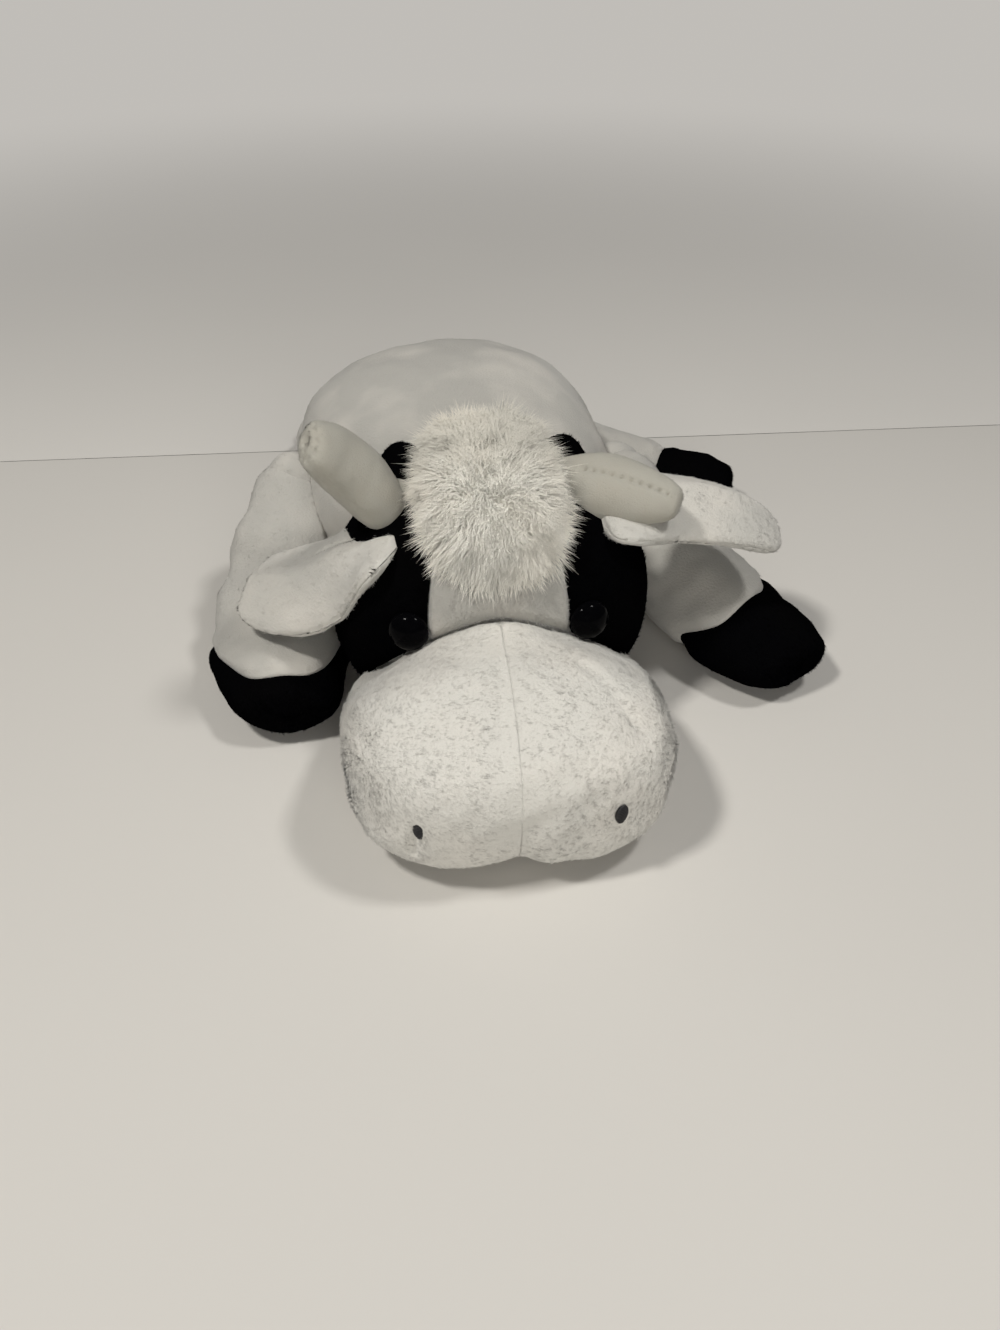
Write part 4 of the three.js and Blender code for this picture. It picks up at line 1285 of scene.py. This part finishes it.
# Ears. Two leaves of white plush sewn together round the edge and turned, with a thin filling.
# The right ear hangs and curls up, and the left one lies out level under its horn.
# The ears' low tone paints them darker than the muzzle: painted shade.
ear = {"length": 42, "half_width": 13.5, "root_width": 12.5, "puff": 4.4, "edge_puff": 2.2,
       "curl": 3, "parting": 0.1, "root": (76, 34), "standoff": 0.9, "tone": 0.35, "fill": 0.3,
       "sunk_in_head": 1.2, "sunk_in_horn": 0.3}
ears = {
    "right": {"side": -1, "heading": 118, "rise": -49, "droop": -63, "twist": -26, "lean": 0.5,
              "slide": 10.5, "lift": -2.5, "root_dip": 5, "overhang": 2.5},
    "left": {"side": 1, "heading": 101.5, "rise": -6.5, "droop": 43, "twist": -4.5, "lean": 9,
             "slide": 0.7, "lift": 4, "root_dip": 0, "overhang": 9},
}


def ear_point(form, face, share, turn):
    """One leaf. It bends along its length by rise - droop * share^2, curls across its width by
    curl * (across / half width)^2, and puffs out between its edges by sqrt of the height. Its
    root dips into the head, and it twists and leans to one side as it opens."""
    side, overhang = form["side"], form["overhang"]
    radial = 2 * np.sqrt(np.clip(share * (1 - share), 0, 1))
    y, z = np.cos(turn), -np.sin(turn)
    bend = np.radians(form["rise"] - form["droop"] * share**2)
    chord = np.radians(form["rise"] - form["droop"] * share**2 / 3)
    along = share * (ear["length"] + overhang) - overhang - form["slide"]
    opening = smooth(share, 0, 0.45)
    blunt = radial**0.35
    across = y * lerp(ear["root_width"], ear["half_width"], opening) * blunt
    puff = lerp(ear["puff"], ear["edge_puff"], np.abs(y)) * blunt
    sag = ear["curl"] * opening * (across / ear["half_width"]) ** 2
    leaf = face * (ear["parting"] / 2 + puff * np.sqrt(np.maximum(z * face, 0)))
    out = form["lift"] + leaf - sag - form["root_dip"] * (1 - smooth(share, 0, 0.4))
    sideways, up = spun(across, out, np.radians(-side * form["twist"]) * opening)
    sideways = sideways + side * form["lean"] * opening
    x = along * np.cos(chord) - up * np.sin(bend)
    z = along * np.sin(chord) + up * np.cos(bend)
    pivot, _ = pillow_seat(cranium, way_of(side, *ear["root"]), ear["standoff"])
    return turned(xyz(x, sideways, z), aim(side, form["heading"])) + pivot


def ear_grid(form, face, horn_above, rows=70, columns=80):
    """A leaf from where each line along it leaves the head and the horn out to its tip."""
    turn = round_angles(columns)[None]
    trial = np.linspace(1, 0, 300)[:, None]
    tried = ear_point(form, face, trial, turn)
    clear_of_head = head_room(tried) + ear["sunk_in_head"]
    value = np.minimum(clear_of_head, horn_room(horn_above, tried) + ear["sunk_in_horn"])
    first = np.where((value < 0).any(axis=0), np.argmax(value < 0, axis=0), 299)
    start = trial[first, 0]
    tilt = np.linspace(np.arccos(1 - 2 * start), np.full_like(start, np.pi), rows)
    share = (1 - np.cos(tilt)) / 2
    return ear_point(form, face, share, turn)


for word, form in ears.items():
    side = form["side"]
    to_tip = straight(turned(np.array([1.0, 0, 0]), aim(side, form["heading"])))
    for leaf, face in (("back", 1), ("lining", -1)):
        grid = ear_grid(form, face, horns[word])
        seed = 101 + side + 2 * face
        slack = 0.4 * ripple(grid, 14, seed) + 0.15 * ripple(grid, 6, seed + 5)
        grid, normals = sunk(grid, slack * 0.6)
        outward = -np.sin(round_angles(grid.shape[1])) * face
        keep = np.broadcast_to(outward > -0.05, grid.shape[:2])
        parts = set_on_neck(
            skin(capped(grid, grid[0].mean(axis=0), 0), ear["tone"]),
            pile(grid, normals, to_tip, seed + 6, 3.8, keep=keep, tone=ear["tone"]),
        )
        piece, node = f"{word}_ear_{leaf}_plush", f"{word}_ear_{leaf}"
        make_piece(piece, node, f"{word}_ear", white_plush, parts)

# Forelock. A small pad of long-pile cloth sewn on the crown between the horns. Its hairs part
# near the middle and fall forward, to both sides and back over the neck.
forelock = {
    "centre": (0, -67, 51), "halves": (16.5, 27), "rise": 20, "drop": 14, "squareness": 3.6,
    "hairs": 24000, "lowest": 36, "parting": (0, -64.0, 66.0), "fill": 0.5,
}
pad = round_grid(lambda way: pillow_point(forelock, way, -3), 46, 80)
pad[..., 1] -= 0.12 * np.minimum(pad[..., 1] - forelock["centre"][1], 0)
pad = lumpy(pad, 8, 0.5, 111)
draw = np.random.default_rng(112)
count = forelock["hairs"]
on_crown = (pad[..., 2] > forelock["lowest"]) & (pillow_room(cranium, pad) > 0.2)
roots, up = scatter(pad, grid_normals(pad), count, draw, keep=on_crown)
away = (roots - np.array(forelock["parting"])) / np.array([13, 20, 20])
away = away / np.maximum(np.linalg.norm(away, axis=-1, keepdims=True), 1)
swell = ripple_way(roots, 4.5, 113)
ways = unit(0.8 * up + 0.8 * away + 0.25 * swell + 0.33 * draw.normal(size=roots.shape))
bends = 0.2 * swell + 0.12 * draw.normal(size=roots.shape) + np.array([0, 0, -0.25])
lengths = draw.uniform(4.0, 7.0, count) * (1 + 0.15 * ripple(roots, 7, 116))
lengths = lengths * (1 - 0.35 * smooth(-roots[:, 1], 78, 92))
radii = draw.uniform(0.13, 0.21, count)
lit_way = unit(0.4 * up + 0.2 * away + np.array([0, -0.35, 0.6]))
points, faces, tones, shading = hairs(
    roots - up * 0.4, ways, bends, lengths, radii, 2, draw, lit_way, 0.6, (0.6, 1, 0.08)
)
# Hairs towards the back of the crown are painted darker: painted shade on the top of the forelock.
tones = np.clip(tones - 0.7 * smooth(points[:, 1], -86, -64), 0, 1)
parts = set_on_neck(skin(pad, 0.7), (points, faces, tones, shading))
make_piece("forelock_pile", "forelock", "head", long_pile, parts)
